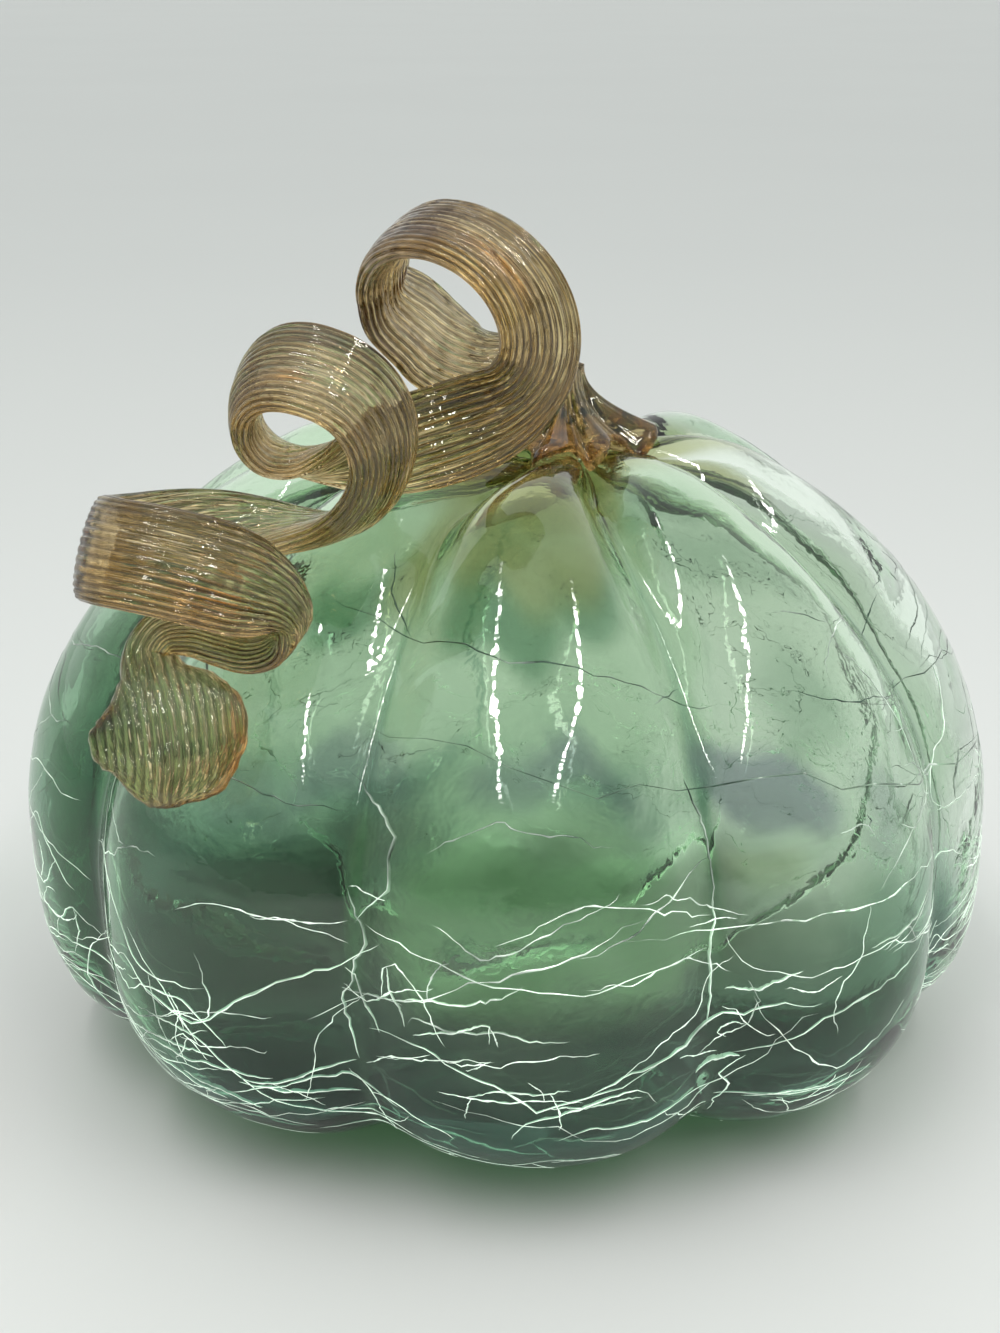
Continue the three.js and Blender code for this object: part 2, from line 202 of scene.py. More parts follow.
class Nodes:
    """Short calls that add and join the nodes of one tree."""

    def __init__(self, tree: Group) -> None:
        """Keeps the tree."""
        self.tree = tree

    @classmethod
    def of(cls, owner: bpy.types.ID) -> Nodes:
        """Empties the tree of a material, a light or a world.

        Args:
            owner: what the tree belongs to.

        Returns:
            The calls for its tree.
        """
        owner.use_nodes = True
        owner.node_tree.nodes.clear()
        return cls(owner.node_tree)

    def add(self, kind: str, inputs: dict | None = None, **settings: object) -> bpy.types.Node:
        """Adds a node, with its settings and with values or links for its inputs.

        Args:
            kind: type name of the node.
            inputs: input name or number to a value, or to the output socket that feeds it.
            settings: properties of the node.

        Returns:
            The node.
        """
        node = self.tree.nodes.new(kind)
        for name, value in settings.items():
            setattr(node, name, value)
        for name, value in (inputs or {}).items():
            if isinstance(value, Socket):
                self.tree.links.new(value, node.inputs[name])
            else:
                node.inputs[name].default_value = value
        return node

    def math(self, operation: str, *values: object, clamp: bool = False) -> Socket:
        """A Math node of numbers or sockets, whose result may be held between 0 and 1."""
        inputs = dict(enumerate(values))
        return self.add("ShaderNodeMath", inputs, operation=operation, use_clamp=clamp).outputs[0]

    def scaled(self, value: Socket, factor: object, start: object = 0.0) -> Socket:
        """A value times a factor plus a start."""
        return self.math("MULTIPLY_ADD", value, factor, start)

    def between(self, value: Socket, low: float, high: float) -> Socket:
        """A soft step that is 0 up to low and 1 from high on."""
        inputs = {"Value": value, "From Min": low, "From Max": high}
        return self.add("ShaderNodeMapRange", inputs, interpolation_type="SMOOTHSTEP").outputs[0]

    def mix(self, share: object, first: object, second: object) -> Socket:
        """A colour between two colours, by the share of the second."""
        inputs = {0: share, 6: first, 7: second}
        return self.add("ShaderNodeMix", inputs, data_type="RGBA").outputs[2]

    def parts(self, vector: Socket) -> bpy.types.NodeOutputs:
        """The three components of a vector."""
        return self.add("ShaderNodeSeparateXYZ", {0: vector}).outputs

    def attribute(self, name: str, output: str = "Fac") -> Socket:
        """What the piece's attribute of this name holds."""
        return self.add("ShaderNodeAttribute", attribute_name=name).outputs[output]

    def bump(self, height: Socket, strength: float, distance: float) -> Socket:
        """The normal of a surface raised by a height."""
        inputs = {"Height": height, "Strength": strength, "Distance": distance}
        return self.add("ShaderNodeBump", inputs).outputs[0]

    def hand_made(self, group: Group, vector: Socket) -> bpy.types.NodeOutputs:
        """The outputs of the shared effect of hand-worked glass at the given coordinates."""
        return self.add("ShaderNodeGroup", {"Vector": vector}, node_tree=group).outputs

    def ramp(self, share: Socket, stops: list[tuple[float, Colour]]) -> Socket:
        """Adds a colour ramp.

        Args:
            share: socket that picks the place on the ramp.
            stops: places and their colours, in order.

        Returns:
            Its colour output.
        """
        node = self.add("ShaderNodeValToRGB", {"Fac": share})
        elements = node.color_ramp.elements
        elements[0].position, elements[0].color = stops[0]
        elements[-1].position, elements[-1].color = stops[-1]
        for place, colour in stops[1:-1]:
            elements.new(place).color = colour
        return node.outputs["Color"]


@dataclass(frozen=True)
class Pattern:
    """A noise pattern: its stretch along the third axis, its scale, finer layers and bending."""

    stretch: float
    scale: float
    detail: float
    bending: float = 0.0

    def on(self, nodes: Nodes, vector: Socket) -> Socket:
        """Adds the pattern to a tree.

        Args:
            nodes: nodes of the tree.
            vector: the coordinates that the pattern lies on.

        Returns:
            Its value, around 0.5.
        """
        if self.stretch != 1.0:
            inputs = {"Vector": vector, "Scale": (1, 1, self.stretch)}
            vector = nodes.add("ShaderNodeMapping", inputs).outputs[0]
        inputs = {"Vector": vector, "Scale": self.scale, "Detail": self.detail}
        return nodes.add("ShaderNodeTexNoise", {**inputs, "Distortion": self.bending}).outputs[0]


def hand_made_group() -> Group:
    """Builds the shared effect of hand-worked glass: slow waves of the surface and drifting tint.

    Returns:
        A group with inputs Vector and Scale and outputs Height, Drift and Haze.
    """
    tree = bpy.data.node_groups.new("hand_made_glass", "ShaderNodeTree")
    tree.interface.new_socket("Vector", in_out="INPUT", socket_type="NodeSocketVector")
    scale = tree.interface.new_socket("Scale", in_out="INPUT", socket_type="NodeSocketFloat")
    scale.default_value = 1.0
    for name in ("Height", "Drift", "Haze"):
        tree.interface.new_socket(name, in_out="OUTPUT", socket_type="NodeSocketFloat")
    nodes = Nodes(tree)
    given = nodes.add("NodeGroupInput")
    scaled = nodes.add("ShaderNodeVectorMath", {0: given.outputs["Vector"]}, operation="SCALE")
    tree.links.new(given.outputs["Scale"], scaled.inputs["Scale"])
    vector = scaled.outputs[0]
    quick, slow = Pattern(1, 0.22, 2, 0.6).on(nodes, vector), Pattern(1, 0.05, 1).on(nodes, vector)
    height = nodes.scaled(quick, 0.25, slow)
    drift = Pattern(1, 0.03, 3, 1.2).on(nodes, vector)
    haze = nodes.between(Pattern(1, 0.3, 1).on(nodes, vector), 0.5, 0.8)
    nodes.add("NodeGroupOutput", {"Height": height, "Drift": drift, "Haze": haze})
    return tree


@dataclass(frozen=True)
class GlassFinish:
    """What both glasses share: their index, absorption and shadow."""

    name: str
    absorption: Colour
    density: float
    shadow_tint: Colour
    ior: float = 1.5
    shadow_share: float = 0.78

    def stained_and_lit(
        self, nodes: Nodes, colour: Socket, sway: Socket, stains_and_light: dict[str, tuple[str, ...]]
    ) -> tuple[Socket, dict[str, Socket]]:
        """Mixes stains and painted light and shade into a colour, each made uneven by a sway of its
        share.

        Args:
            nodes: nodes of the material.
            colour: colour of the clean glass.
            sway: how far the shares sway, around 0.
            stains_and_light: names of the stains and painted light and shade that each attribute
                holds.

        Returns:
            The mixed colour, and the share of each colour by its name.
        """
        shares = {}
        for attribute, names in stains_and_light.items():
            for socket, name in zip(nodes.parts(nodes.attribute(attribute, "Vector")), names):
                shares[name] = nodes.math("MULTIPLY_ADD", socket, sway, socket, clamp=True)
                colour = nodes.mix(shares[name], colour, getattr(self, name))
        return colour, shares

    def material(self, group: Group) -> Material:
        """Builds the glass round its own look, with a tinted shadow and absorption.

        Args:
            group: the shared effect of hand-worked glass.

        Returns:
            The material.
        """
        made = bpy.data.materials.new(self.name)
        nodes = Nodes.of(made)
        colour, roughness, normal = self.look(nodes, group)
        inputs = {"Base Color": colour, "Roughness": roughness, "Normal": normal, "IOR": self.ior}
        glass = nodes.add("ShaderNodeBsdfPrincipled", {**inputs, "Transmission Weight": 1.0})
        shadow = nodes.add("ShaderNodeBsdfTransparent", {"Color": self.shadow_tint})
        in_shadow = nodes.add("ShaderNodeLightPath").outputs["Is Shadow Ray"]
        share = nodes.scaled(in_shadow, self.shadow_share)
        inputs = {0: share, 1: glass.outputs[0], 2: shadow.outputs[0]}
        surface = nodes.add("ShaderNodeMixShader", inputs).outputs[0]
        inputs = {"Color": self.absorption, "Density": self.density}
        volume = nodes.add("ShaderNodeVolumeAbsorption", inputs).outputs[0]
        nodes.add("ShaderNodeOutputMaterial", {"Surface": surface, "Volume": volume})
        return made


@dataclass(frozen=True)
class GreenGlass(GlassFinish):
    """Green blown glass: paler near the top, deeper near the base partly as painted shade, with
    clear lobes at one side.
    """

    name: str = "green_crackle_glass"
    absorption: Colour = (0.50, 0.80, 0.52, 1)
    density: float = 22.0
    shadow_tint: Colour = (0.74, 0.92, 0.76, 1)
    top: Colour = (0.65, 0.79, 0.62, 1)
    middle: Colour = (0.72, 0.84, 0.71, 1)
    lower: Colour = (0.62, 0.77, 0.62, 1)
    # low and base are partly deeper glass near the base and partly painted shade of dark
    # surroundings seen through it.
    low: Colour = (0.28, 0.46, 0.36, 1)
    base: Colour = (0.05, 0.15, 0.11, 1)
    # Painted shade along the grooves.
    groove_shade_colour: Colour = (0.36, 0.55, 0.42, 1)
    clear: Colour = (0.93, 0.96, 0.925, 1)
    # Painted light: brighter green where light gathers in the glass.
    bright: Colour = (0.78, 1.0, 0.77, 1)
    # Painted shade: darker green where the stem and the surroundings are seen in the glass.
    deep: Colour = (0.13, 0.31, 0.17, 1)
    # Painted reflection: grey-green of dark surroundings mirrored in the front.
    smoke: Colour = (0.38, 0.43, 0.45, 1)
    # Painted shade under the stem, tinted olive.
    olive: Colour = (0.38, 0.39, 0.15, 1)
    full_height: float = 120.0
    stops: tuple[float, ...] = (0.18, 0.31, 0.44, 0.62, 0.88)
    wander: float = 30.0
    sway: float = 0.8
    roughness: tuple[float, float] = (0.02, 0.004)
    bump: tuple[float, float] = (0.12, 0.002)

    def look(self, nodes: Nodes, group: Group) -> tuple[Socket, Socket, Socket]:
        """Colours the glass by height, deeper toward the base partly as painted shade, then adds
        painted shade and light over it.

        Args:
            nodes: nodes of the material.
            group: the shared effect of hand-worked glass.

        Returns:
            Colour, roughness and normal.
        """
        place = nodes.add("ShaderNodeTexCoord").outputs["Object"]
        inputs = {"Vector": place, "Scale": [1 / MM] * 3}
        place = nodes.add("ShaderNodeMapping", inputs).outputs[0]
        hand = nodes.hand_made(group, place)
        wander = nodes.scaled(hand["Drift"], self.wander, -self.wander / 2)
        height = nodes.math("ADD", nodes.parts(place)[2], wander)
        # Painted shade: the shift darkens the sides up to a greater height.
        height = nodes.math("SUBTRACT", height, nodes.attribute("sunk"))
        share = nodes.math("DIVIDE", height, self.full_height, clamp=True)
        colours = (self.base, self.low, self.lower, self.middle, self.top)
        colour = nodes.ramp(share, list(zip(self.stops, colours)))
        # Painted shade: a darker line along each groove.
        colour = nodes.mix(nodes.attribute("groove_shade"), colour, self.groove_shade_colour)
        colour = nodes.mix(nodes.attribute("clear_lobes"), colour, self.clear)
        sway = nodes.scaled(hand["Drift"], self.sway, -self.sway / 2)
        # These are painted light and shade, not stains.
        stains_and_light = {"painted_patches": ("bright", "deep", "smoke"), "stem_shade": ("olive",)}
        colour, _ = self.stained_and_lit(nodes, colour, sway, stains_and_light)
        roughness = nodes.scaled(hand["Haze"], *self.roughness)
        return colour, roughness, nodes.bump(hand["Height"], *self.bump)


@dataclass(frozen=True)
class AmberGlass(GlassFinish):
    """Amber ribbed glass with smoky, golden and almost clear streaks that run along the ribs."""

    name: str = "amber_ribbed_glass"
    absorption: Colour = (0.82, 0.62, 0.30, 1)
    density: float = 52.0
    shadow_tint: Colour = (0.86, 0.70, 0.45, 1)
    umber: Colour = (0.11, 0.06, 0.025, 1)
    brown: Colour = (0.38, 0.25, 0.10, 1)
    tan: Colour = (0.66, 0.48, 0.19, 1)
    straw: Colour = (0.97, 0.82, 0.44, 1)
    smoke: Colour = (0.14, 0.10, 0.13, 1)
    # Gold and clear are partly the glass's colour and partly painted highlights.
    gold_and_highlight: Colour = (1.0, 0.68, 0.20, 1)
    clear: Colour = (0.95, 0.89, 0.68, 1)
    ember: Colour = (0.85, 0.33, 0.05, 1)
    olive: Colour = (0.48, 0.47, 0.27, 1)
    soot: Colour = (0.07, 0.05, 0.05, 1)
    # Painted highlight along the rib crests.
    crest_highlight: Colour = (1.0, 0.89, 0.58, 1)
    # Painted shade in the rib valleys.
    valley_shade: Colour = (0.03, 0.016, 0.006, 1)
    streaks: Pattern = Pattern(0.07, 0.75, 3, 0.3)
    clouds: Pattern = Pattern(0.5, 0.11, 2)
    specks: Pattern = Pattern(1, 0.45, 1)
    scratches: Pattern = Pattern(0.04, 2.2, 1)
    dents: Pattern = Pattern(0.9, 0.24, 1)
    stops: tuple[float, ...] = (0.26, 0.42, 0.6, 0.78)
    streak_share: float = 1.15
    cloud_share: tuple[float, float] = (0.7, -0.32)
    sway: tuple[float, float] = (1.2, -0.56)
    speck_step: tuple[float, float] = (0.74, 0.8)
    speck_share: float = 0.7
    rib_unevenness: float = 0.6
    crest_highlight_step: tuple[float, float] = (0.5, 0.75)
    crest_highlight_share: float = 0.7
    valley_shade_step: tuple[float, float] = (0.5, 0.02)
    cloud_step: tuple[float, float] = (0.32, 0.62)
    valley_shade_depth: tuple[float, float] = (0.4, 0.58)
    clear_valley_shade: tuple[float, float] = (-0.5, 1.0)
    hand_height: float = 0.5
    dent_height: float = 3.0
    roughness: tuple[float, float] = (0.06, 0.04)
    bump: tuple[float, float] = (0.45, 0.0006)

    def look(self, nodes: Nodes, group: Group) -> tuple[Socket, Socket, Socket]:
        """Streaks the glass along the strap, stains it, and paints highlights on its rib crests
        over painted shade in its valleys.

        Args:
            nodes: nodes of the material.
            group: the shared effect of hand-worked glass.

        Returns:
            Colour, roughness and normal.
        """
        strap = nodes.attribute("strap", "Vector")
        hand = nodes.hand_made(group, strap)
        streaks = self.streaks.on(nodes, strap)
        clouds = self.clouds.on(nodes, strap)
        blend = nodes.scaled(streaks, self.streak_share, nodes.scaled(clouds, *self.cloud_share))
        colours = (self.umber, self.brown, self.tan, self.straw)
        colour = nodes.ramp(blend, list(zip(self.stops, colours)))
        # The gold and clear tones are partly painted highlights; smoke and the stains are the
        # glass's own.
        stains_and_light = {"tones": ("smoke", "gold_and_highlight", "clear"), "stains_and_light": ("olive", "ember", "soot")}
        colour, shares = self.stained_and_lit(nodes, colour, nodes.scaled(streaks, *self.sway), stains_and_light)
        specks = nodes.between(self.specks.on(nodes, strap), *self.speck_step)
        colour = nodes.mix(nodes.scaled(specks, self.speck_share), colour, self.umber)
        ribs = nodes.scaled(streaks, self.rib_unevenness, nodes.attribute("ribs"))
        # Painted highlight on the crests, and painted shade in the valleys below.
        crest_highlight = nodes.scaled(nodes.between(ribs, *self.crest_highlight_step), self.crest_highlight_share)
        colour = nodes.mix(crest_highlight, colour, self.crest_highlight)
        depth = nodes.scaled(nodes.between(clouds, *self.cloud_step), *self.valley_shade_depth)
        depth = nodes.scaled(depth, nodes.scaled(shares["clear"], *self.clear_valley_shade))
        valley_shading = nodes.scaled(nodes.between(ribs, *self.valley_shade_step), depth)
        colour = nodes.mix(valley_shading, colour, self.valley_shade)
        height = nodes.scaled(hand["Height"], self.hand_height, self.scratches.on(nodes, strap))
        height = nodes.scaled(self.dents.on(nodes, strap), self.dent_height, height)
        roughness = nodes.scaled(hand["Haze"], *self.roughness)
        return colour, roughness, nodes.bump(height, *self.bump)


@dataclass(frozen=True)
class FissureGlass:
    """Faces of the cracks in the wall, which mirror light, with painted glints: bright and glowing
    low down, darker higher up as painted shade.
    """

    name: str = "fissure_glass"
    bright: Colour = (0.95, 1.0, 0.94, 1)
    crack_shade: Colour = (0.05, 0.10, 0.07, 1)
    glow: Colour = (0.74, 1.0, 0.78, 1)
    glow_strength: float = 0.56
    glow_contrast: float = 1.6
    metallic: float = 0.3
    breaks: Pattern = Pattern(1, 120, 2)
    unevenness: float = 2.0
    roughness: tuple[float, float] = (0.25, 0.1)
    bump: tuple[float, float] = (0.2, 0.0003)

    def material(self) -> Material:
        """Builds the material, whose painted glow and brightness follow the piece's painted glint.

        Returns:
            The material.
        """
        made = bpy.data.materials.new(self.name)
        nodes = Nodes.of(made)
        breaks = self.breaks.on(nodes, nodes.add("ShaderNodeTexCoord").outputs["Object"])
        share = nodes.scaled(breaks, self.unevenness, -self.unevenness / 2)
        share = nodes.math("ADD", share, nodes.attribute("glint"), clamp=True)
        lit = nodes.math("POWER", share, self.glow_contrast)
        inputs = {
            "Base Color": nodes.mix(share, self.crack_shade, self.bright),
            "Roughness": nodes.scaled(breaks, *self.roughness),
            "Normal": nodes.bump(breaks, *self.bump),
            "Metallic": self.metallic,
            # The emission is a painted glow; the cracks are no lamp.
            "Emission Color": nodes.mix(lit, (0, 0, 0, 1), self.glow),
            "Emission Strength": self.glow_strength,
        }
        mirror = nodes.add("ShaderNodeBsdfPrincipled", inputs)
        nodes.add("ShaderNodeOutputMaterial", {"Surface": mirror.outputs[0]})
        return made


@dataclass(frozen=True)
class MatteFinish:
    """Plain painted surface of the floor."""

    name: str
    colour: Colour
    roughness: float = 0.6
    darkest: float = 0.96
    drift: Pattern = Pattern(1, 2.5, 3)

    def material(self) -> Material:
        """Builds the material, with a faint drift of its colour.

        Returns:
            The material.
        """
        made = bpy.data.materials.new(self.name)
        nodes = Nodes.of(made)
        drift = self.drift.on(nodes, nodes.add("ShaderNodeTexCoord").outputs["Object"])
        darker = tuple(self.darkest * part for part in self.colour[:3]) + (1.0,)
        colour = nodes.mix(drift, self.colour, darker)
        inputs = {"Base Color": colour, "Roughness": self.roughness}
        matte = nodes.add("ShaderNodeBsdfPrincipled", inputs)
        nodes.add("ShaderNodeOutputMaterial", {"Surface": matte.outputs[0]})
        return made


# ---- the shell


class Hue(Enum):
    """Colours of the patches of painted light and shade on the shell, in the order in which the
    finish reads them.
    """

    PAINTED_LIGHT = 0
    PAINTED_SHADE = 1
    SMOKE = 2
    OLIVE = 3


def placed(kind: type, rows: dict[Enum, list[tuple[float, ...]]]) -> tuple:
    """Patches or spots of all their hues, from the rows of each hue."""
    return tuple(kind(hue, *row) for hue, group in rows.items() for row in group)


@dataclass(frozen=True)
class Sector:
    """A range of azimuths with soft ends."""

    start: float
    start_softness: float
    end: float
    end_softness: float
    strength: float

    def shares(self, azimuth: Array, wobble: object = 0.0) -> Array:
        """Strength of the sector: full inside, and fading over its ends.

        Args:
            azimuth: degrees from the front toward +X.
            wobble: degrees by which the sector is moved.

        Returns:
            The share at each place.
        """
        rise = soft_step((azimuth - self.start - wobble) / self.start_softness)
        fall = soft_step((self.end + wobble - azimuth) / self.end_softness)
        return self.strength * rise * fall


@dataclass(frozen=True)
class Patch:
    """A patch of painted light or painted shade in the shell: a rounded box with a wavy, more or
    less soft edge.
    """

    hue: Hue
    azimuth: float
    height: float
    half_turn: float
    half_height: float
    softness: float
    wave: float
    strength: float
    wave_lengths: tuple[float, float, float] = (4.3, 1.7, 2.9)

    def shares(self, azimuth: Array, height: Array) -> Array:
        """Strength of the patch: full inside, and fading over its soft edge.

        Args:
            azimuth: degrees from the front toward +X.
            height: millimetres over the floor.

        Returns:
            The share at each place.
        """
        start = self.azimuth + self.height
        long, short, upward = self.wave_lengths
        waves = np.sin(azimuth / long + start) + 0.5 * np.sin(azimuth / short + 2 * start)
        bent = height + self.wave * waves
        shifted = azimuth + 0.6 * self.wave * np.sin(height / upward + start)
        across = np.abs(shifted - self.azimuth) / self.half_turn
        up = np.abs(bent - self.height) / self.half_height
        away = (across**4 + up**4) ** 0.25
        return self.strength * soft_step((1 + self.softness / 2 - away) / self.softness)


@dataclass
class BlownShell:
    """The lobed shell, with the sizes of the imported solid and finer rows."""

    radius: float = 95.0
    widest_level: float = 48.6
    upper_height: float = 79.5
    lower_height: float = 49.4
    upper_fullness: float = 2.0
    lower_fullness: float = 3.7
    wall: float = 3.2
    centre: tuple[float, float] = (0.6, -0.9)
    lobes: int = 9
    lobe_turn: float = radians(3.6)
    groove_widest: float = 6.2
    groove_top: float = 8.0
    groove_base: float = 5.2
    groove_sharpness: float = 2.7
    groove_softness: float = 0.1
    fade_top: float = 33.0
    fade_base: tuple[float, float] = (30.0, 60.0)
    dimple: tuple[float, float] = (9.0, 48.0)
    kick: tuple[float, float] = (5.0, 27.0)
    neck_radius: float = 9.0
    neck_shift: float = 9.5
    lean: tuple[float, float, float] = (70.0, -1.3, 2.8)
    points_per_lobe: int = 40
    outer_rows: tuple[int, int] = (74, 66)
    inner_rows: tuple[int, int] = (44, 42)
    base_easing: float = 1.7
    groove_easing: float = 1.5
    groove_shade_width: float = 0.9
    groove_shade_strength: float = 0.8
    ripple_height: float = 0.16
    inner_ripple: float = 2.0
    painted_patches: tuple[Patch, ...] = placed(
        Patch,
        # azimuth and height of the middle, half turn and half height, softness, wave, strength
        {
            # Painted light: patches where light gathers in the glass.
            Hue.PAINTED_LIGHT: [
                (4, 58.5, 19, 13.5, 0.1, 2.2, 1.0), (31, 62, 4, 3, 0.8, 1, 0.5),
            ],
            # Painted reflection: dark surroundings mirrored across the front.
            Hue.SMOKE: [
                (-20, 79, 7, 5, 0.5, 2.5, 0.75), (3.5, 81.5, 9, 3.5, 0.5, 3, 0.8),
                (30.5, 75, 7, 6, 0.4, 2.5, 0.85), (-30, 73, 5, 5, 0.8, 2, 0.5),
                (46, 67, 3, 7, 0.9, 2, 0.5),
            ],
            # Painted shade: darker patches under the stem and at the sides, where the stem and the
            # surroundings are seen in the glass.
            Hue.PAINTED_SHADE: [
                (-27, 62, 13, 13, 0.6, 2, 0.3), (-26, 103.5, 6, 4, 0.8, 1.5, 0.85),
                (-2, 102.5, 9, 5, 0.7, 2, 0.9), (12, 105, 6, 4, 0.7, 1.5, 0.85),
                (-66, 34, 26, 12, 0.8, 3, 0.9), (31, 115.5, 12, 2.5, 0.9, 1, 0.45),
                (40, 107, 10, 4, 0.9, 2, 0.4), (38, 88, 5, 8, 0.9, 2, 0.4),
                (-33, 92, 14, 12, 0.9, 3, 0.2), (-66, 66, 24, 36, 0.6, 4, 0.75),
                (50, 40, 12, 18, 0.8, 4, 0.55),
            ],
            # Painted shade under the stem, tinted olive.
            Hue.OLIVE: [
                (-17, 108, 4, 8, 0.9, 2, 0.85), (2, 111, 20, 5, 0.9, 2, 0.8),
                (30, 63, 5, 3, 0.9, 2, 0.3),
            ],
        },
    )
    # The underside's oval of painted light, which shows through the front.
    under_light_pool: tuple[float, ...] = (5.0, 32.0, 34.0, 48.0)
    under_light_step: tuple[float, float] = (1.25, 0.4)
    under_light_top: float = 26.0
    under_light_front: float = -30.0
    under_light_strength: float = 0.95
    clear_side: Sector = Sector(66, 9, 158, 14, 0.93)
    clear_edge: tuple[tuple[float, float], ...] = ((3, 11), (2, 5))
    dark_left: Sector = Sector(-130, 30, -36, 24, 22)
    dark_right: Sector = Sector(36, 12, 100, 20, 8)
    light_back: tuple[float, float, float] = (20.0, 30.0, 26.0)
    stem_shade_middle: tuple[float, float] = (6.0, -8.0)
    stem_shade_reach: tuple[float, float, float] = (38.0, 12.0, 6.0)
    stem_shade_turn_x: float = 9.0
    stem_shade_bottom: float = 90.0
    stem_shade_softness: float = 16.0
    stem_shade_strength: float = 0.9
    waves: tuple[tuple[float, ...], ...] = (
        # height, turns round the axis, turns up the shell, start
        (1.0, 3, 4, 1),
        (0.7, 5, -7, 2),
        (0.45, 11, 9, 3),
        (0.3, 16, -21, 5),
    )
    pressed: float = 2.8

    def groove_shape(self, azimuth: Array) -> Array:
        """Groove between two lobes: 0 on a crest and 1 in a groove, as a power with a soft bottom.

        Args:
            azimuth: angles from the front.

        Returns:
            The share of the groove's depth.
        """
        share = ((azimuth - self.lobe_turn) * self.lobes / FULL_TURN + 0.5) % 1.0
        from_groove = 1 - np.abs(2 * share - 1)
        across = 1 - np.hypot(from_groove, self.groove_softness) + self.groove_softness
        return np.maximum(across, 0) ** self.groove_sharpness

    def bump(self, radius: Array, size: tuple[float, float]) -> Array:
        """A bump on the axis: its height times the square of one minus the squared radius share."""
        return size[0] * np.maximum(1 - (radius / size[1]) ** 2, 0) ** 2

    def ripple(self, azimuth: Array, level: Array, skin: Skin) -> Array:
        """Slow waves that hand work leaves in the glass, always pressed inward.

        The sum of sine waves that turn round the axis and run up the shell at their own rates,
        raised so that it is never below zero.

        Args:
            azimuth: angles from the front.
            level: angles up from the widest height.
            skin: outer or inner surface.

        Returns:
            Depth of the waves.
        """
        waves = sum(
            height * np.sin(around * azimuth + up * level + start * skin.value)
            for height, around, up, start in self.waves
        )
        size = self.ripple_height * (1.0 if skin is Skin.OUTER else self.inner_ripple)
        return size * (waves + self.pressed) * np.cos(level) ** 0.5

    def points(self, azimuth: Array, level: Array, inset: object, grooved: float = 1.0) -> Array:
        """Points of the shell for azimuths and levels.

        The profile is a superellipse in each half. Its grooves are pressed in along its slope, the
        top sinks in a dimple, the underside rises in a kick, and the whole leans a little sideways.

        Args:
            azimuth: angles from the front.
            level: angles up from the widest height.
            inset: depth into the glass, a number or an array.
            grooved: share of the grooves' depth.

        Returns:
            Points in millimetres, with the components on the last axis.
        """
        azimuth, level, inset = np.broadcast_arrays(azimuth, level, np.asarray(inset, float))
        upper = level >= 0
        side = np.where(upper, 1.0, -1.0)
        fullness = np.where(upper, self.upper_fullness, self.lower_fullness)
        height = np.where(upper, self.upper_height, self.lower_height) - inset
        widest = self.radius - inset
        sine = np.abs(np.sin(level))
        radius = widest * np.maximum(np.cos(level), 0) ** (2 / fullness)
        rise = sine ** (2 / fullness)
        out = (radius / widest) ** (fullness - 1) / widest
        up = side * rise ** (fullness - 1) / height
        length = np.hypot(out, up)
        at_end = np.where(upper, self.groove_top, self.groove_base)
        depth = self.groove_widest + (at_end - self.groove_widest) * sine**3
        low, high = self.fade_base
        fade = soft_step((radius - low) / (high - low))
        fade = np.where(upper, np.minimum(radius / self.fade_top, 1), fade)
        groove = grooved * self.groove_shape(azimuth) * depth * fade
        radial = radius - groove * out / length
        z = self.widest_level + side * height * rise - groove * up / length
        low_z = np.maximum(z, np.maximum(inset, 0)) + self.bump(radius, self.kick)
        z = np.where(upper, z - self.bump(radius, self.dimple), low_z)
        span, slope, curve = self.lean
        drift = (z - self.widest_level) / span
        neck = np.where(upper, self.bump(radius, (self.neck_shift, self.dimple[1])), 0)
        x = slope * drift + curve * drift**2 + neck + radial * np.sin(azimuth) - self.centre[0]
        y = -radial * np.cos(azimuth) - self.centre[1]
        return np.stack([x, y, z], -1)

    def place_over(self, azimuth: Array, level: Array, height: Array) -> Array:
        """Places at a height over the smooth shell, from azimuths and levels in degrees."""
        return self.points(np.radians(azimuth), np.radians(level), -np.asarray(height, float), 0.0)

    def level_at(self, radius: object, inset: float) -> Array:
        """Level of the upper shell at a distance from the axis and a depth into the glass."""
        return np.arccos((np.asarray(radius) / (self.radius - inset)) ** (self.upper_fullness / 2))

    def levels(self, rows: tuple[int, int], inset: float) -> Array:
        """Levels of the rows from near the middle of the base up to the neck.

        Args:
            rows: rows in the upper and the lower half.
            inset: depth into the glass.

        Returns:
            The levels, lowest first.
        """
        neck = self.level_at(self.neck_radius, inset)
        upper = neck * np.arange(rows[0] + 1) / rows[0]
        share = 1 - (1 - np.arange(1, rows[1]) / rows[1]) ** self.base_easing
        return np.concatenate([-RIGHT_ANGLE * share[::-1], upper])

    def rings(self, rows: tuple[int, int], inset: float, skin: Skin) -> Array:
        """Rings of one surface of the shell, with its ripples.

        Args:
            rows: rows in the upper and the lower half.
            inset: depth into the glass.
            skin: outer or inner surface.

        Returns:
            Points as rings x around x 3, lowest ring first.
        """
        azimuth = self.azimuths()
        level = self.levels(rows, inset)[:, None]
        depth = inset + self.ripple(azimuth[None], level, skin)
        return self.points(azimuth[None], level, depth)

    def azimuths(self) -> Array:
        """Azimuths of the points on a ring, which lie closer together near the grooves.

        In each lobe the distance from the groove is a power of even shares.

        Returns:
            The angles from the front toward +X.
        """
        share = 2 * np.arange(self.points_per_lobe) / self.points_per_lobe - 1
        from_groove = np.sign(share) * np.abs(share) ** self.groove_easing
        groove = self.lobe_turn + FULL_TURN * (np.arange(self.lobes) + 0.5) / self.lobes
        return (groove[:, None] + pi / self.lobes * from_groove[None]).ravel()

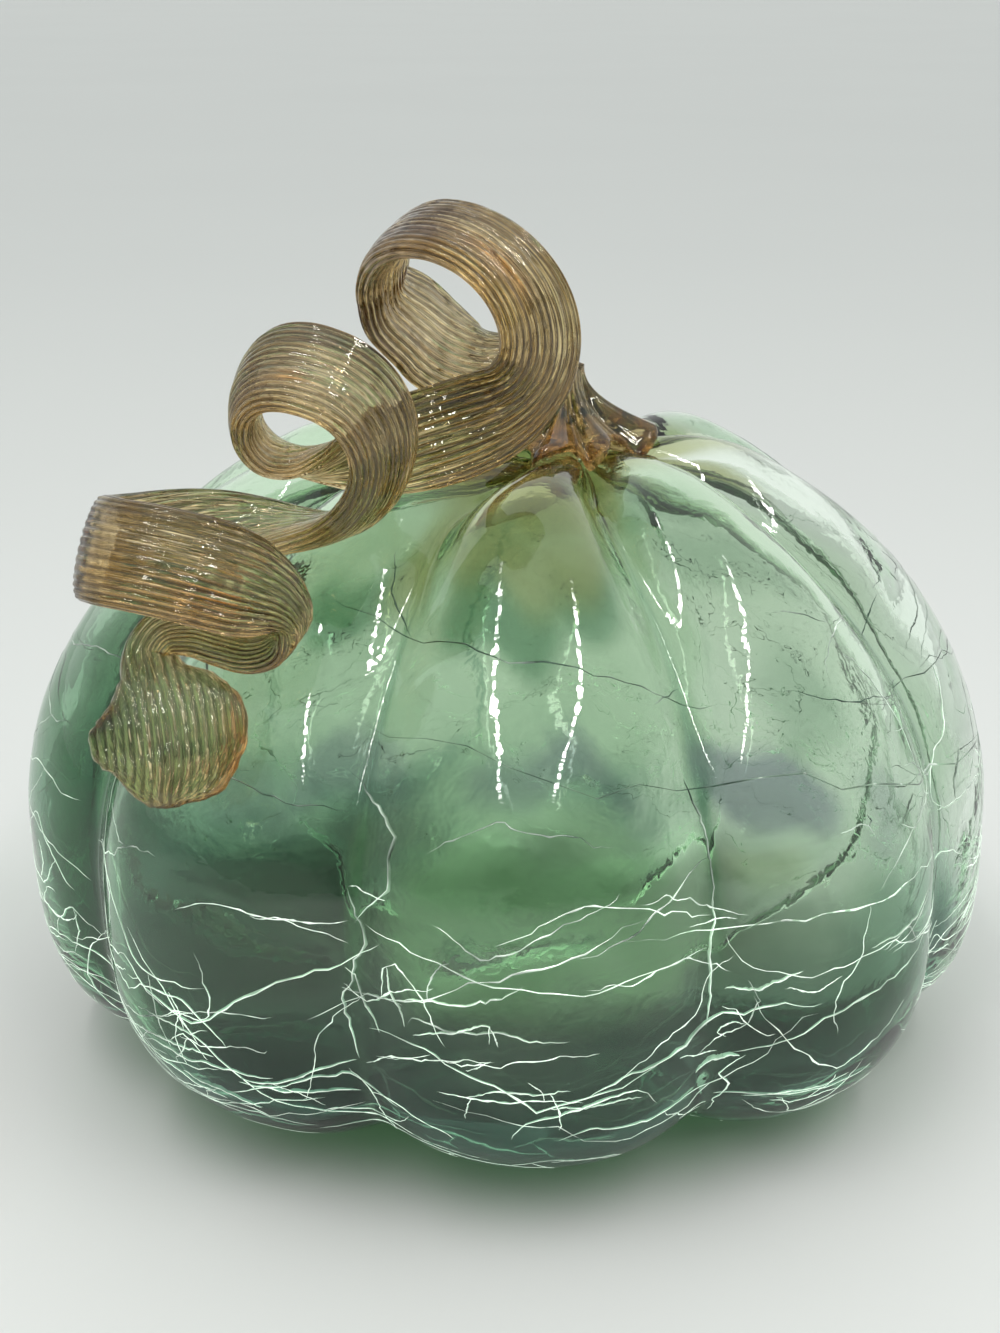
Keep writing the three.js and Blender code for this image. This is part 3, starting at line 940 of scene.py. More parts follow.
    def groove_shade(self, azimuth: Array, level: Array) -> Array:
        """Share of the thin line of painted shade along each groove, which fades at the top and the
        base.

        Args:
            azimuth: angles from the front.
            level: angles up from the widest height.

        Returns:
            The share at each place.
        """
        share = ((azimuth - self.lobe_turn) * self.lobes / FULL_TURN) % 1.0
        away = np.abs(share - 0.5) * FULL_TURN / self.lobes * self.radius
        return self.groove_shade_strength * np.exp(-((away / self.groove_shade_width) ** 2)) * np.cos(level) ** 0.5

    def clear_lobes(self, points: Array) -> Array:
        """Share of clear glass: 1 over the lobes at the back right, and 0 over the green ones.

        Args:
            points: rows of points.

        Returns:
            One share for each point.
        """
        wobble = sum(size * np.sin(points[:, 2] / length) for size, length in self.clear_edge)
        return self.clear_side.shares(azimuths_of(points), wobble)

    def hues(self, points: Array) -> Array:
        """Shares of the patches' hues: each is as strong at a place as its strongest patch there.

        The underside has one more patch of painted light, a soft oval that shows through the front.

        Args:
            points: rows of points.

        Returns:
            One row for each place, one column for each hue.
        """
        azimuth = azimuths_of(points)
        shares = np.zeros((len(Hue), len(points)))
        for patch in self.painted_patches:
            row = shares[patch.hue.value]
            np.maximum(row, patch.shares(azimuth, points[:, 2]), out=row)
        x, y, z = points.T
        middle_x, middle_y, half_x, half_y = self.under_light_pool
        away = np.hypot((x - middle_x) / half_x, (y - middle_y) / half_y)
        edge, softness = self.under_light_step
        under = self.under_light_strength * soft_step((edge - away) / softness)
        under = under * (z < self.under_light_top) * (y > self.under_light_front)
        # The underside's painted light joins the bright hue, and the painted shade under the stem
        # the olive hue.
        for hue, share in ((Hue.PAINTED_LIGHT, under), (Hue.OLIVE, self.shade_under_stem(points))):
            row = shares[hue.value]
            np.maximum(row, share, out=row)
        return shares.T

    def sunk(self, points: Array) -> Array:
        """Shift of the green's depth, as painted shade at the sides: the left side is dark up to a
        greater height, the back less.

        Args:
            points: rows of points.

        Returns:
            The shift in millimetres at each point.
        """
        azimuth = azimuths_of(points)
        start, softness, rise = self.light_back
        back = rise * soft_step((points[:, 1] - start) / softness)
        return self.dark_left.shares(azimuth) + self.dark_right.shares(azimuth) - back

    def shade_under_stem(self, points: Array) -> Array:
        """Share of the olive painted shade under the stem's foot round the neck.

        Args:
            points: rows of points.

        Returns:
            One share for each point.
        """
        away = np.hypot(points[:, 0] - self.stem_shade_middle[0], points[:, 1] - self.stem_shade_middle[1])
        azimuth = np.arctan2(points[:, 0] - self.stem_shade_turn_x, -points[:, 1])
        mean, three, seven = self.stem_shade_reach
        reach = mean + three * np.cos(3 * azimuth + 0.6) + seven * np.cos(7 * azimuth)
        over = points[:, 2] > self.stem_shade_bottom
        return self.stem_shade_strength * soft_step((reach - away) / self.stem_shade_softness) * over

    def build(self) -> Piece:
        """Builds the shell as one closed body: outer surface, round the neck, inner surface.

        Returns:
            The piece.
        """
        outer = self.rings(self.outer_rows, 0.0, Skin.OUTER)
        inner = self.rings(self.inner_rows, self.wall, Skin.INNER)[::-1]
        rings = np.concatenate([outer, inner])
        poles = [self.points(0.0, -RIGHT_ANGLE, depth) for depth in (0.0, self.wall)]
        points = tube_points(poles[0], rings, poles[1])
        piece = make_object("crackle_shell", points, list(tube_faces(len(rings), rings.shape[1])))
        add_attribute(piece, "clear_lobes", self.clear_lobes(points))
        hues = self.hues(points)
        add_attribute(piece, "painted_patches", hues[:, :3])
        add_attribute(piece, "stem_shade", np.repeat(hues[:, 3:], 3, axis=1))
        add_attribute(piece, "sunk", self.sunk(points))
        both = [self.levels(self.outer_rows, 0.0), self.levels(self.inner_rows, self.wall)[::-1]]
        groove_shade = self.groove_shade(self.azimuths()[None], np.concatenate(both)[:, None])[..., None]
        add_attribute(piece, "groove_shade", tube_points(np.zeros(1), groove_shade, np.zeros(1))[:, 0])
        return piece


@dataclass(frozen=True)
class CrackBand:
    """Cracks of one kind: where they start, how they run and how deep they are."""

    lowest: float
    highest: float
    count: int
    length: float
    heading: float
    spread: float
    depth: float
    azimuths: tuple[float, float] = (-180.0, 180.0)
    evenness: float = 4.0
    depth_range: tuple[float, float] = (0.6, 1.15)

    def starts(self, rng: Random) -> tuple[Array, Array, Array, Array, Array]:
        """Picks the cracks of this band.

        Args:
            rng: the seeded random numbers.

        Returns:
            Azimuth, height, heading, length and depth of each crack.
        """
        azimuth = np.radians(rng.uniform(*self.azimuths, self.count))
        height = rng.uniform(self.lowest, self.highest, self.count)
        back = pi * rng.integers(0, 2, self.count)
        heading = np.radians(rng.normal(self.heading, self.spread, self.count)) + back
        length = self.length * rng.gamma(self.evenness, 1 / self.evenness, self.count)
        depth = self.depth * rng.uniform(*self.depth_range, self.count)
        return azimuth, height, heading, length, depth


@dataclass
class Crackle:
    """Cracks in the wall of the shell: thin wedges that run mostly level, dense near the base."""

    shell: BlownShell
    seed: int = 11
    steps: int = 27
    profile_span: tuple[float, float] = (-80.0, 74.0)
    profile_places: int = 1500
    bands: tuple[CrackBand, ...] = (
        # lowest and highest start in mm, count, mean length, heading and its spread, depth
        CrackBand(4.0, 16.0, 50, 30.0, 0.0, 4.0, 0.8),
        CrackBand(15.0, 27.0, 80, 34.0, 0.0, 5.0, 0.9),
        CrackBand(25.0, 37.0, 90, 35.0, 0.0, 6.0, 0.9),
        CrackBand(35.0, 48.0, 62, 36.0, 0.0, 8.0, 0.8),
        CrackBand(46.0, 64.0, 36, 42.0, 0.0, 12.0, 0.7),
        CrackBand(62.0, 86.0, 24, 46.0, 0.0, 15.0, 0.6),
        CrackBand(84.0, 110.0, 11, 32.0, 0.0, 24.0, 0.5),
        CrackBand(60.0, 72.0, 8, 90.0, 0.0, 8.0, 0.7),
        CrackBand(82.0, 98.0, 8, 80.0, 0.0, 10.0, 0.5),
        CrackBand(25.0, 110.0, 44, 15.0, 42.0, 16.0, 0.7, (70.0, 150.0)),
    )
    groove_cracks: int = 3
    groove_rise: tuple[float, float, float] = (4.0, 27.0, 8.0)
    groove_spread: tuple[float, float] = (1.2, 3.0)
    groove_length: tuple[float, float] = (24.0, 40.0)
    groove_depth: tuple[float, float] = (0.5, 0.9)
    branches: int = 150
    branch_turn: tuple[float, float] = (35.0, 80.0)
    branch_length: tuple[float, float] = (0.2, 0.5)
    branch_depth: float = 0.7
    branch_margin: int = 4
    held_share: float = 0.6
    fewest_steps: int = 5
    skin_depth: float = -0.02
    mouth: float = 0.2
    back_thinning: float = 0.5
    thinning_reach: float = 60.0
    swing: float = 12.0
    swings: tuple[float, float] = (0.4, 1.4)
    kink: float = 24.0
    kink_share: float = 0.16
    kink_return: float = 0.9
    jitter: float = 11.0
    lean: float = 17.0
    lean_change: float = 5.0
    most_lean: float = 1.15
    taper: tuple[float, float] = (0.6, 0.02)
    unevenness: tuple[float, float] = (0.8, 0.4)
    least_swell: float = 0.35
    swell_evenness: float = 3.0
    back: tuple[float, float] = (5.0, 40.0)
    back_narrowing: float = 0.4
    glint_top: float = 88.0
    glint_fade: float = 46.0
    glint_range: tuple[float, float] = (0.9, 0.05)
    glint_scatter: float = 0.2
    back_dimming: float = 0.35

    @cached_property
    def meridian(self) -> tuple[Array, Array, Array, Array]:
        """Measures the smooth profile from the edge of the base up to the shoulder.

        Returns:
            Levels, distance along the profile, height and radius, at many places.
        """
        level = np.radians(np.linspace(*self.profile_span, self.profile_places))
        points = self.shell.points(0.0, level, 0.0, 0.0)
        return level, distances(points), points[:, 2], np.abs(points[:, 1])

    def walks(self, rng: Random) -> tuple[Array, Array, Array]:
        """Paths of all cracks as azimuth and distance up the profile.

        Some cracks follow the grooves, most run level and end at a groove, and branches start on an
        older path and leave it sideways.

        Args:
            rng: the seeded random numbers.

        Returns:
            Azimuths and distances along the profile as cracks x steps, and the depth of each crack.
        """
        _, along, height, _ = self.meridian
        rows = [np.stack(band.starts(rng)) for band in self.bands] + [self.groove_starts(rng)]
        azimuth, level, heading, length, depth = np.concatenate(rows, axis=1)
        start = np.stack([azimuth, np.interp(level, height, along)], -1)
        paths = self.follow(rng, start, heading, length)
        level_count = len(start) - self.shell.lobes * self.groove_cracks
        held = (rng.random(len(start)) < self.held_share) & (np.arange(len(start)) < level_count)
        paths = np.where(held[:, None, None], self.held_in_lobe(paths), paths)
        parent = rng.integers(0, level_count, self.branches)
        place = rng.integers(self.branch_margin, self.steps - self.branch_margin, self.branches)
        turn = np.radians(rng.uniform(*self.branch_turn, self.branches))
        heading = heading[parent] + turn * rng.choice([-1, 1], self.branches)
        length = length[parent] * rng.uniform(*self.branch_length, self.branches)
        younger = self.follow(rng, paths[parent, place], heading, length)
        both = np.concatenate([paths, younger])
        depths = np.concatenate([depth, self.branch_depth * depth[parent]])
        return both[..., 0], both[..., 1], depths

    def groove_starts(self, rng: Random) -> Array:
        """Picks the cracks that climb along the grooves, a few above each other in each groove.

        Args:
            rng: the seeded random numbers.

        Returns:
            Rows of azimuth, height, heading, length and depth.
        """
        count = self.shell.lobes * self.groove_cracks
        index = np.arange(count)
        lobe = index % self.shell.lobes + 0.5
        groove = self.shell.lobe_turn + FULL_TURN * lobe / self.shell.lobes
        aside, turned = self.groove_spread
        lowest, apart, uneven = self.groove_rise
        azimuth = groove + np.radians(rng.normal(0, aside, count))
        height = lowest + apart * (index // self.shell.lobes) + rng.uniform(0, uneven, count)
        heading = RIGHT_ANGLE + np.radians(rng.normal(0, turned, count))
        length = rng.uniform(*self.groove_length, count)
        depth = rng.uniform(*self.groove_depth, count)
        return np.stack([azimuth, height, heading, length, depth])

    def held_in_lobe(self, paths: Array) -> Array:
        """Ends each crack at the groove that it reaches first, with its steps spread out again.

        Args:
            paths: cracks x steps x 2.

        Returns:
            The shortened paths.
        """
        lobe = np.floor((paths[..., 0] - self.shell.lobe_turn) * self.shell.lobes / FULL_TURN + 0.5)
        inside = np.cumprod(lobe == lobe[:, :1], axis=1).sum(axis=1)
        last = np.maximum(inside - 1, self.fewest_steps)
        places = last[:, None] * np.linspace(0, 1, self.steps)[None]
        low = np.minimum(places.astype(int), self.steps - 2)
        share = (places - low)[..., None]
        rows = np.arange(len(paths))[:, None]
        return paths[rows, low] * (1 - share) + paths[rows, low + 1] * share

    def follow(self, rng: Random, start: Array, heading: Array, length: Array) -> Array:
        """Follows cracks from their starts: each swings in one slow wave and has a few sharp kinks.

        Args:
            rng: the seeded random numbers.
            start: azimuth and distance up the profile of each start.
            heading: first heading of each crack, 0 toward growing azimuth.
            length: length of each crack.

        Returns:
            Paths as cracks x steps x 2.
        """
        _, along, _, radius = self.meridian
        one, all_steps = (len(start), 1), (len(start), self.steps)
        share = np.linspace(0, 1, self.steps)[None]
        swing = np.radians(rng.normal(0, self.swing, one))
        swings = rng.uniform(*self.swings, one) * share + rng.random(one)
        kinks = np.radians(rng.normal(0, self.kink, all_steps))
        kinks = kinks * (rng.random(all_steps) < self.kink_share)
        wander = np.cumsum(kinks, axis=1)
        wander -= self.kink_return * wander.mean(axis=1, keepdims=True)
        jitter = np.radians(rng.normal(0, self.jitter, all_steps))
        angle = heading[:, None] + swing * np.sin(FULL_TURN * swings) + wander + jitter
        step = (length / self.steps)[:, None]
        around = np.interp(start[:, 1], along, radius)[:, None]
        moves = np.stack([step * np.cos(angle) / around, step * np.sin(angle)], -1)
        path = start[:, None] + np.cumsum(moves, axis=1) - moves[:, :1]
        path[..., 1] = np.clip(path[..., 1], along[0], along[-1])
        return path

    def share_behind(self, y: Array) -> Array:
        """How far behind the middle places lie: 0 up to the start of the back, and 1 at its end."""
        start, reach = self.back
        return np.clip((y - start) / reach, 0, 1)

    def wedges(self, azimuth: Array, distance: Array, depth: Array, rng: Random) -> Array:
        """Sections of the cracks: three points each, two at the mouth and one at the tip.

        The mouth lies a hair over the outer surface and swells unevenly, and the tip lies deeper in
        the wall, leaning sideways by an angle of its own. Both shrink at the ends of the crack.

        Args:
            azimuth: azimuths as cracks x steps.
            distance: distances up the profile as cracks x steps.
            depth: depth of each crack.
            rng: the seeded random numbers.

        Returns:
            Points as cracks x steps x 3 x 3.
        """
        level_table, along, _, _ = self.meridian
        level = np.interp(distance, along, level_table)
        skin = self.shell.ripple(azimuth, level, Skin.OUTER) + self.skin_depth
        centre = self.shell.points(azimuth, level, skin)
        small = 1e-3
        at = self.shell.points
        east = at(azimuth + small, level, skin) - at(azimuth - small, level, skin)
        north = at(azimuth, level + small, skin) - at(azimuth, level - small, skin)
        outward = unit(np.cross(east, north))
        ahead = unit(np.gradient(centre, axis=1))
        side = unit(np.cross(outward, ahead))
        share = np.linspace(0, 1, self.steps)[None, :, None]
        power, bluntness = self.taper
        taper = np.sin(pi * share) ** power + bluntness
        each, all_steps = (len(depth), 1, 1), (len(depth), self.steps, 1)
        lean = rng.normal(0, self.lean, each) + rng.normal(0, self.lean_change, all_steps)
        lean = np.clip(np.radians(lean), -self.most_lean, self.most_lean)
        into = -outward * np.cos(lean) + side * np.sin(lean)
        least, more = self.unevenness
        deep = depth[:, None, None] * (least + more * rng.random(all_steps)) * taper
        behind = np.clip(centre[..., 1:2] / self.thinning_reach, 0, 1)
        deep = deep * (1 - self.back_thinning * behind)
        swell = rng.gamma(self.swell_evenness, 1 / self.swell_evenness, all_steps)
        swell = self.least_swell + (1 - self.least_swell) * swell
        narrowed = 1 - self.back_narrowing * self.share_behind(centre[..., 1:2])
        mouth = 0.5 * self.mouth * taper * swell * narrowed
        sides = [centre - side * mouth, centre + side * mouth]
        return np.stack([*sides, centre + into * deep], axis=2)

    def build(self) -> Piece:
        """Builds all cracks as closed wedges in one piece.

        Returns:
            The piece.
        """
        rng = np.random.default_rng(self.seed)
        azimuth, distance, depth = self.walks(rng)
        rings = self.wedges(azimuth, distance, depth, rng)
        count, steps = azimuth.shape
        body = rings[:, 1:-1]
        size = 2 + 3 * (steps - 2)
        ends = rings.mean(axis=2)
        points = np.concatenate([ends[:, :1], body.reshape(count, -1, 3), ends[:, -1:]], axis=1)
        quads, fans = tube_faces(steps - 2, 3)
        offset = (size * np.arange(count))[:, None, None]
        faces = [(part[None] + offset).reshape(-1, part.shape[1]) for part in (quads, fans)]
        flat = points.reshape(-1, 3)
        piece = make_object("crackle_fissures", flat, faces)
        # Painted glint: cracks are brighter low down and dimmer behind the middle.
        more, least = self.glint_range
        glint = np.clip((self.glint_top - flat[:, 2]) / self.glint_fade, 0, 1) * more + least
        glint *= 1 - self.back_dimming * self.share_behind(flat[:, 1])
        own = np.repeat(rng.normal(0, self.glint_scatter, count), size)
        add_attribute(piece, "glint", np.clip(glint + own, 0, 1))
        return piece


# ---- the stem


class Tint(Enum):
    """Colours laid on the strap in places, in the order in which the finish reads them; gold and
    clear are partly painted highlights.
    """

    SMOKE = 0
    GOLD_AND_HIGHLIGHT = 1
    CLEAR = 2
    OLIVE = 3
    EMBER = 4
    SOOT = 5


@dataclass(frozen=True)
class Spot:
    """A soft spot of colour: its tint, its place along and round the strap, its half sizes and
    strength.
    """

    tint: Tint
    along: float
    turn: float
    half_length: float
    half_turn: float
    strength: float

    def shares(self, along: Array, turn: Array) -> Array:
        """Strength of the spot, a bell round its middle; the turns are in degrees."""
        away = ((turn - self.turn + 180) % 360 - 180) / self.half_turn
        return self.strength * np.exp(-(((along - self.along) / self.half_length) ** 2) - away**2)


@dataclass
class CurledStem:
    """The ribbed stem: plug, toed foot, column, three loops and the round paddle."""

    shell: BlownShell
    ribs: int = 30
    points_per_rib: int = 6
    rib_height: float = 0.5
    rib_spacing: float = 1.35
    rib_wander: tuple[tuple[float, ...], ...] = (
        # height, turns round the strap, length along it, start
        (0.9, 2, 23, 0),
        (0.5, -3, 9.5, 1),
    )
    rib_swell: tuple[tuple[float, ...], ...] = ((0.25, 5, 14, 0), (0.15, 9, -31, 0))
    mean_swell: float = 0.8
    crest_height: float = 1.25
    valley_level: float = -0.75
    paddle_rib: float = 1.55
    paddle_start: float = 340.0
    paddle_blend: float = 8.0
    flat_turn: float = 279.0
    flat_half: float = 14.0
    flat_share: float = 0.6
    tip_rounding: float = 9.0
    tip_easing: float = 1.6
    half_width: float = 8.8
    half_thickness: float = 2.4
    face_flatness: float = 0.75
    evenness: float = 0.7
    step: float = 0.78
    toes: tuple[tuple[float, float, float], ...] = (
        # direction in degrees from the front toward +X, reach and half angle
        (76, 21.5, 24),
        (30, 19, 13),
        (-4, 22, 13),
        (-50, 18, 17),
        (-108, 17, 19),
        (-165, 18, 19),
        (132, 17, 19),
    )
    column: tuple[tuple[float, ...], ...] = (
        # place from the middle of the neck, width direction, half width and half thickness
        (-0.4, -0.1, 7.7, 0.69, 0.72, 0, 8.2, 7.4),
        (-4.1, 0.7, 10.2, 0.6, 0.78, 0.12, 8, 6),
        (-9.4, 0.3, 13, 0.5, 0.84, 0.18, 8.8, 4.4),
        (-15.8, -1.9, 14.7, 0.5, 0.84, 0.2, 10.2, 3.2),
        (-22.1, -5.4, 18.4, 0.5, 0.84, 0.22, 11, 2.6),
        (-27.3, -9.7, 23.4, 0.45, 0.86, 0.24, 10.6, 2.4),
    )
    coil: tuple[tuple[float, ...], ...] = (
        # each quarter turn: azimuth, level and height of its middle over the shell, radius,
        # heading and rise of the axis, and tilt of the strap
        (-26, 76, 27, 19.2, 32, 12, 10),
        (-16.5, 70, 25.5, 17.4, 24, 11, 8),
        (-15.5, 68.5, 23.5, 14.3, 22, 10, 28),
        (-21, 64.3, 24.3, 12.9, 13, 6, 88),
        (-25, 56, 21, 16.8, 10, 20, 20),
        (-31.5, 55.5, 22, 15.6, 14, 32, 6),
        (-33.5, 53.5, 23.5, 17.6, 18, 31, 14),
        (-34, 49.5, 23, 16, 36, 46, 42),
        (-36.5, 43.5, 14.5, 16.5, 42, 66, 12),
        (-42, 40, 10, 19.8, 38, 56, 6),
    )
    first_turn: float = -90.0
    steps_per_quarter: int = 5
    tail: tuple[tuple[float, ...], ...] = (
        # azimuth, level and height over the shell, width direction, half width and half thickness
        (-38.2, 39.3, 28.3, 0.34, 0.39, 0.86, 8.8, 2.4),
        (-34.8, 39.9, 24.9, 0.4, 0.42, 0.82, 8.8, 2.4),
        (-32, 40.5, 20.5, 0.45, 0.46, 0.77, 8.8, 2.4),
        (-29.8, 40.9, 15.8, 0.45, 0.62, 0.65, 8.2, 2.4),
        (-27.8, 40.7, 11.7, 0.42, 0.78, 0.46, 6.8, 2.4),
        (-26.7, 39.6, 8.8, 0.36, 0.88, 0.3, 5.6, 2.4),
        (-27.6, 37.7, 7.6, 0.3, 0.9, 0.3, 5, 2.3),
        (-30.1, 36.4, 8.6, 0.22, 0.8, 0.52, 4.6, 2.3),
        (-33.3, 36.3, 10.4, 0.1, 0.75, 0.66, 4.5, 2.3),
        (-36.7, 36.3, 12.5, -0.05, 0.62, 0.78, 4.3, 2.3),
        (-39.7, 35.4, 13.6, -0.3, 0.35, 0.85, 3.9, 2.4),
        (-41, 33.1, 13.3, -0.85, 0.12, 0.45, 3.9, 2.5),
        (-39.4, 30.9, 12, -1, 0, 0.08, 6, 2.7),
        (-37.7, 29, 10.9, -1, 0, -0.02, 10.6, 2.8),
        (-36.5, 27, 9.8, -1, 0, -0.06, 13.2, 2.9),
        (-35.5, 24.4, 8.8, -1, 0, -0.06, 12.6, 2.9),
        (-34.7, 22, 8.5, -1, 0, 0, 10.2, 2.7),
        (-34.4, 20.3, 8.6, -1, 0, 0, 7.4, 2.4),
        (-34.2, 19.3, 8.7, -1, 0, 0, 4.6, 1.9),
        (-34, 18.8, 8.8, -1, 0, 0, 2.4, 1.4),
    )
    paddle_tip: tuple[float, float, float] = (-34, 18.5, 8.8)
    spots: tuple[Spot, ...] = placed(
        Spot,
        # place along and round the strap, half length and half turn, strength
        {
            Tint.SMOKE: [
                (74, 110, 17, 75, 0.95), (60, 110, 13, 110, 0.7), (46, 180, 12, 46, 0.9),
                (36, 90, 12, 60, 0.5), (180, 110, 16, 75, 0.8), (188, 35, 13, 45, 0.7),
                (292, 20, 34, 38, 0.5), (272, 120, 14, 60, 0.4), (118, 120, 9, 50, 0.45),
                (137, 110, 9, 60, 0.45),
            ],
            # Gold spots: partly painted highlights on the loops.
            Tint.GOLD_AND_HIGHLIGHT: [
                (90, 166, 28, 24, 0.9), (132, 178, 22, 22, 0.7), (197, 172, 22, 26, 0.9),
                (292, 122, 16, 42, 0.6), (345, 225, 9, 60, 0.9), (367, 190, 9, 45, 0.75),
                (152, 185, 16, 22, 0.7),
            ],
            # Clear spots: partly painted highlights on the loops.
            Tint.CLEAR: [
                (28, 270, 17, 70, 0.55), (24, 60, 14, 90, 0.4), (297, 250, 15, 70, 0.9),
                (196, 300, 11, 60, 0.7), (357, 90, 14, 95, 0.75), (160, 245, 15, 75, 0.8),
                (154, 320, 14, 60, 0.7), (240, 278, 20, 85, 0.75), (245, 40, 18, 80, 0.6),
                (-12, 90, 4, 70, 0.5), (297, 70, 14, 50, 1.0), (196, 125, 11, 50, 0.9),
                (90, 90, 9, 30, 0.6), (357, 270, 14, 95, 0.7),
            ],
            Tint.EMBER: [
                (91, 112, 6, 16, 0.8), (303, 118, 7, 24, 0.95), (365, 194, 7, 24, 0.8),
                (-10, 214, 3, 20, 0.8), (187, 120, 3, 9, 0.7),
            ],
            Tint.OLIVE: [
                (122, 78, 16, 75, 0.7), (205, 85, 14, 50, 0.5), (218, 150, 16, 85, 0.5),
                (357, 270, 17, 100, 0.15), (326, 180, 10, 90, 0.5), (-7, 300, 14, 95, 0.75),
                (4, 60, 14, 95, 0.5), (-10, 120, 7, 120, 0.6),
            ],
            Tint.SOOT: [
                (94, 168, 1.4, 5, 1.0), (324, 192, 3, 14, 0.9), (357, 332, 3, 12, 0.8),
                (-11, 206, 2.5, 12, 0.85), (48, 205, 6, 18, 0.75),
            ],
        },
    )
    plug_clearance: float = 0.4
    plug_depth: float = 2.4
    plug_chamfer: float = 0.8
    seat_clearance: float = 0.75
    foot_radius: float = 12.0
    foot_edge: float = 1.5
    foot_bulge: float = 0.25
    foot_rows: tuple[float, float] = (0.33, 0.66)
    foot_along: tuple[float, float] = (-14.0, -0.5)
    foot_flare: float = 2.4
    edge_slope: float = 0.03
    flare_rows: int = 22

    @property
    def around(self) -> int:
        """Points on each ring."""
        return self.ribs * self.points_per_rib

    @property
    def turns(self) -> Array:
        """Even angles of the points on a ring."""
        return FULL_TURN * np.arange(self.around) / self.around

    def coil_stations(self) -> tuple[Array, Array]:
        """Centres and width directions of the strap on the coil.

        Every quarter turn has an axis and a middle, and the values between follow a smooth curve.
        The strap stands one radius from the middle, and its width leans from the axis by its tilt.

        Returns:
            Centres and width directions, as rows.
        """
        rows = np.array(self.coil)
        places = np.arange((len(rows) - 1) * self.steps_per_quarter + 1) / self.steps_per_quarter
        middles = self.shell.place_over(rows[:, 0], rows[:, 1], rows[:, 2])
        values = self.clamped_curve(np.concatenate([middles, rows[:, 3:]], axis=1), places)
        middle, radius = values[:, :3], values[:, 3:4]
        heading, rise, tilt = np.radians(values[:, 4:7]).T
        level = np.cos(rise)
        axis = np.stack([np.sin(heading) * level, np.cos(heading) * level, np.sin(rise)], -1)
        top = unit(np.array([0, 0, 1.0]) - axis * axis[:, 2:3])
        side = np.cross(axis, top)
        turn = (np.radians(self.first_turn) + places * RIGHT_ANGLE)[:, None]
        outward = top * np.cos(turn) + side * np.sin(turn)
        across = axis * np.cos(tilt)[:, None] + outward * np.sin(tilt)[:, None]
        return middle + radius * outward, across

    @staticmethod
    def clamped_curve(values: Array, places: Array) -> Array:
        """An even smooth curve through rows of values, whose ends repeat their last row.

        Args:
            values: rows to pass through.
            places: places along the rows.

        Returns:
            One row for each place.
        """
        last = len(values) - 1
        start = np.clip(places.astype(int), 0, last - 1)
        t = (places - start)[:, None]
        a, b, c, d = (values[np.clip(start + k, 0, last)] for k in (-1, 0, 1, 2))
        return b + 0.5 * t * (c - a + t * (2 * a - 5 * b + 4 * c - d + t * (3 * (b - c) + d - a)))

    def neck_middle(self) -> Array:
        """Middle of the open neck."""
        level = self.shell.level_at(self.shell.neck_radius, 0.0)
        return self.shell.points(np.array([0, pi]), level, 0.0, 0.0).mean(axis=0)

    def stations(self) -> tuple[Array, Array, Array]:
        """All stations of the strap in order: column, coil and tail.

        Returns:
            Centres, width directions, and half widths with half thicknesses.
        """
        column, tail = np.array(self.column), np.array(self.tail)
        centres, across = self.coil_stations()
        sizes = np.tile([self.half_width, self.half_thickness], (len(centres), 1))
        under = self.neck_middle() + column[:, :3]
        over = self.shell.place_over(tail[:, 0], tail[:, 1], tail[:, 2])
        return (
            np.concatenate([under, centres, over]),
            np.concatenate([column[:, 3:6], across, tail[:, 3:6]]),
            np.concatenate([column[:, 6:], sizes, tail[:, 6:]]),
        )

    def section_angles(self) -> Array:
        """Angles of the section's points, spaced almost evenly along the outline of the flat oval.

        Even steps along the outline and even angles are mixed, so the ends keep enough points.

        Returns:
            One angle for each point of a ring.
        """
        dense = np.linspace(0, FULL_TURN, 4001)
        along = distances(self.oval(dense, self.half_width, self.half_thickness))
        even = np.interp(along[-1] * self.turns / FULL_TURN, along, dense)
        return self.evenness * even + (1 - self.evenness) * self.turns

    def oval(self, angle: Array, width: object, thickness: object) -> Array:
        """Outline of the smooth strap: an oval whose sine is raised to a low power."""
        rise = np.sign(np.sin(angle)) * np.abs(np.sin(angle)) ** self.face_flatness
        return np.stack([width * np.cos(angle), thickness * rise], -1)

    def sine_waves(self, rows: tuple[tuple[float, ...], ...], along: Array, mean: float) -> Array:
        """Sum of sine waves that run along and round the strap, and a mean."""
        waves = (
            height * np.sin(along / length + around * self.turns[None] + start)
            for height, around, length, start in rows
        )
        return sum(waves, mean)

    def rib_pattern(self, along: Array, width: Array) -> Array:
        """Height of the ribs over the strap: a round-topped wave whose phase and height wander.

        On the strap the wave runs round the section. On the paddle it runs across the face, so the
        ribs stay parallel there and leave the rim smooth.

        Args:
            along: distances along the strap as a column.
            width: half widths of the strap as a column.

        Returns:
            Heights from -1 to 1 as rings x around.
        """
        phase = self.sine_waves(self.rib_wander, along, 0.0)
        round_section = np.cos(self.ribs * self.turns[None] + phase)
        face = width * np.cos(self.section_angles())[None]
        over_face = np.cos(FULL_TURN * face / self.paddle_rib + 0.5 * phase)
        share = np.clip((along - self.paddle_start) / self.paddle_blend, 0, 1)
        wave = round_section + (over_face - round_section) * share
        main = self.crest_height * np.sqrt(0.5 + 0.5 * wave) + self.valley_level
        return main * self.sine_waves(self.rib_swell, along, self.mean_swell)

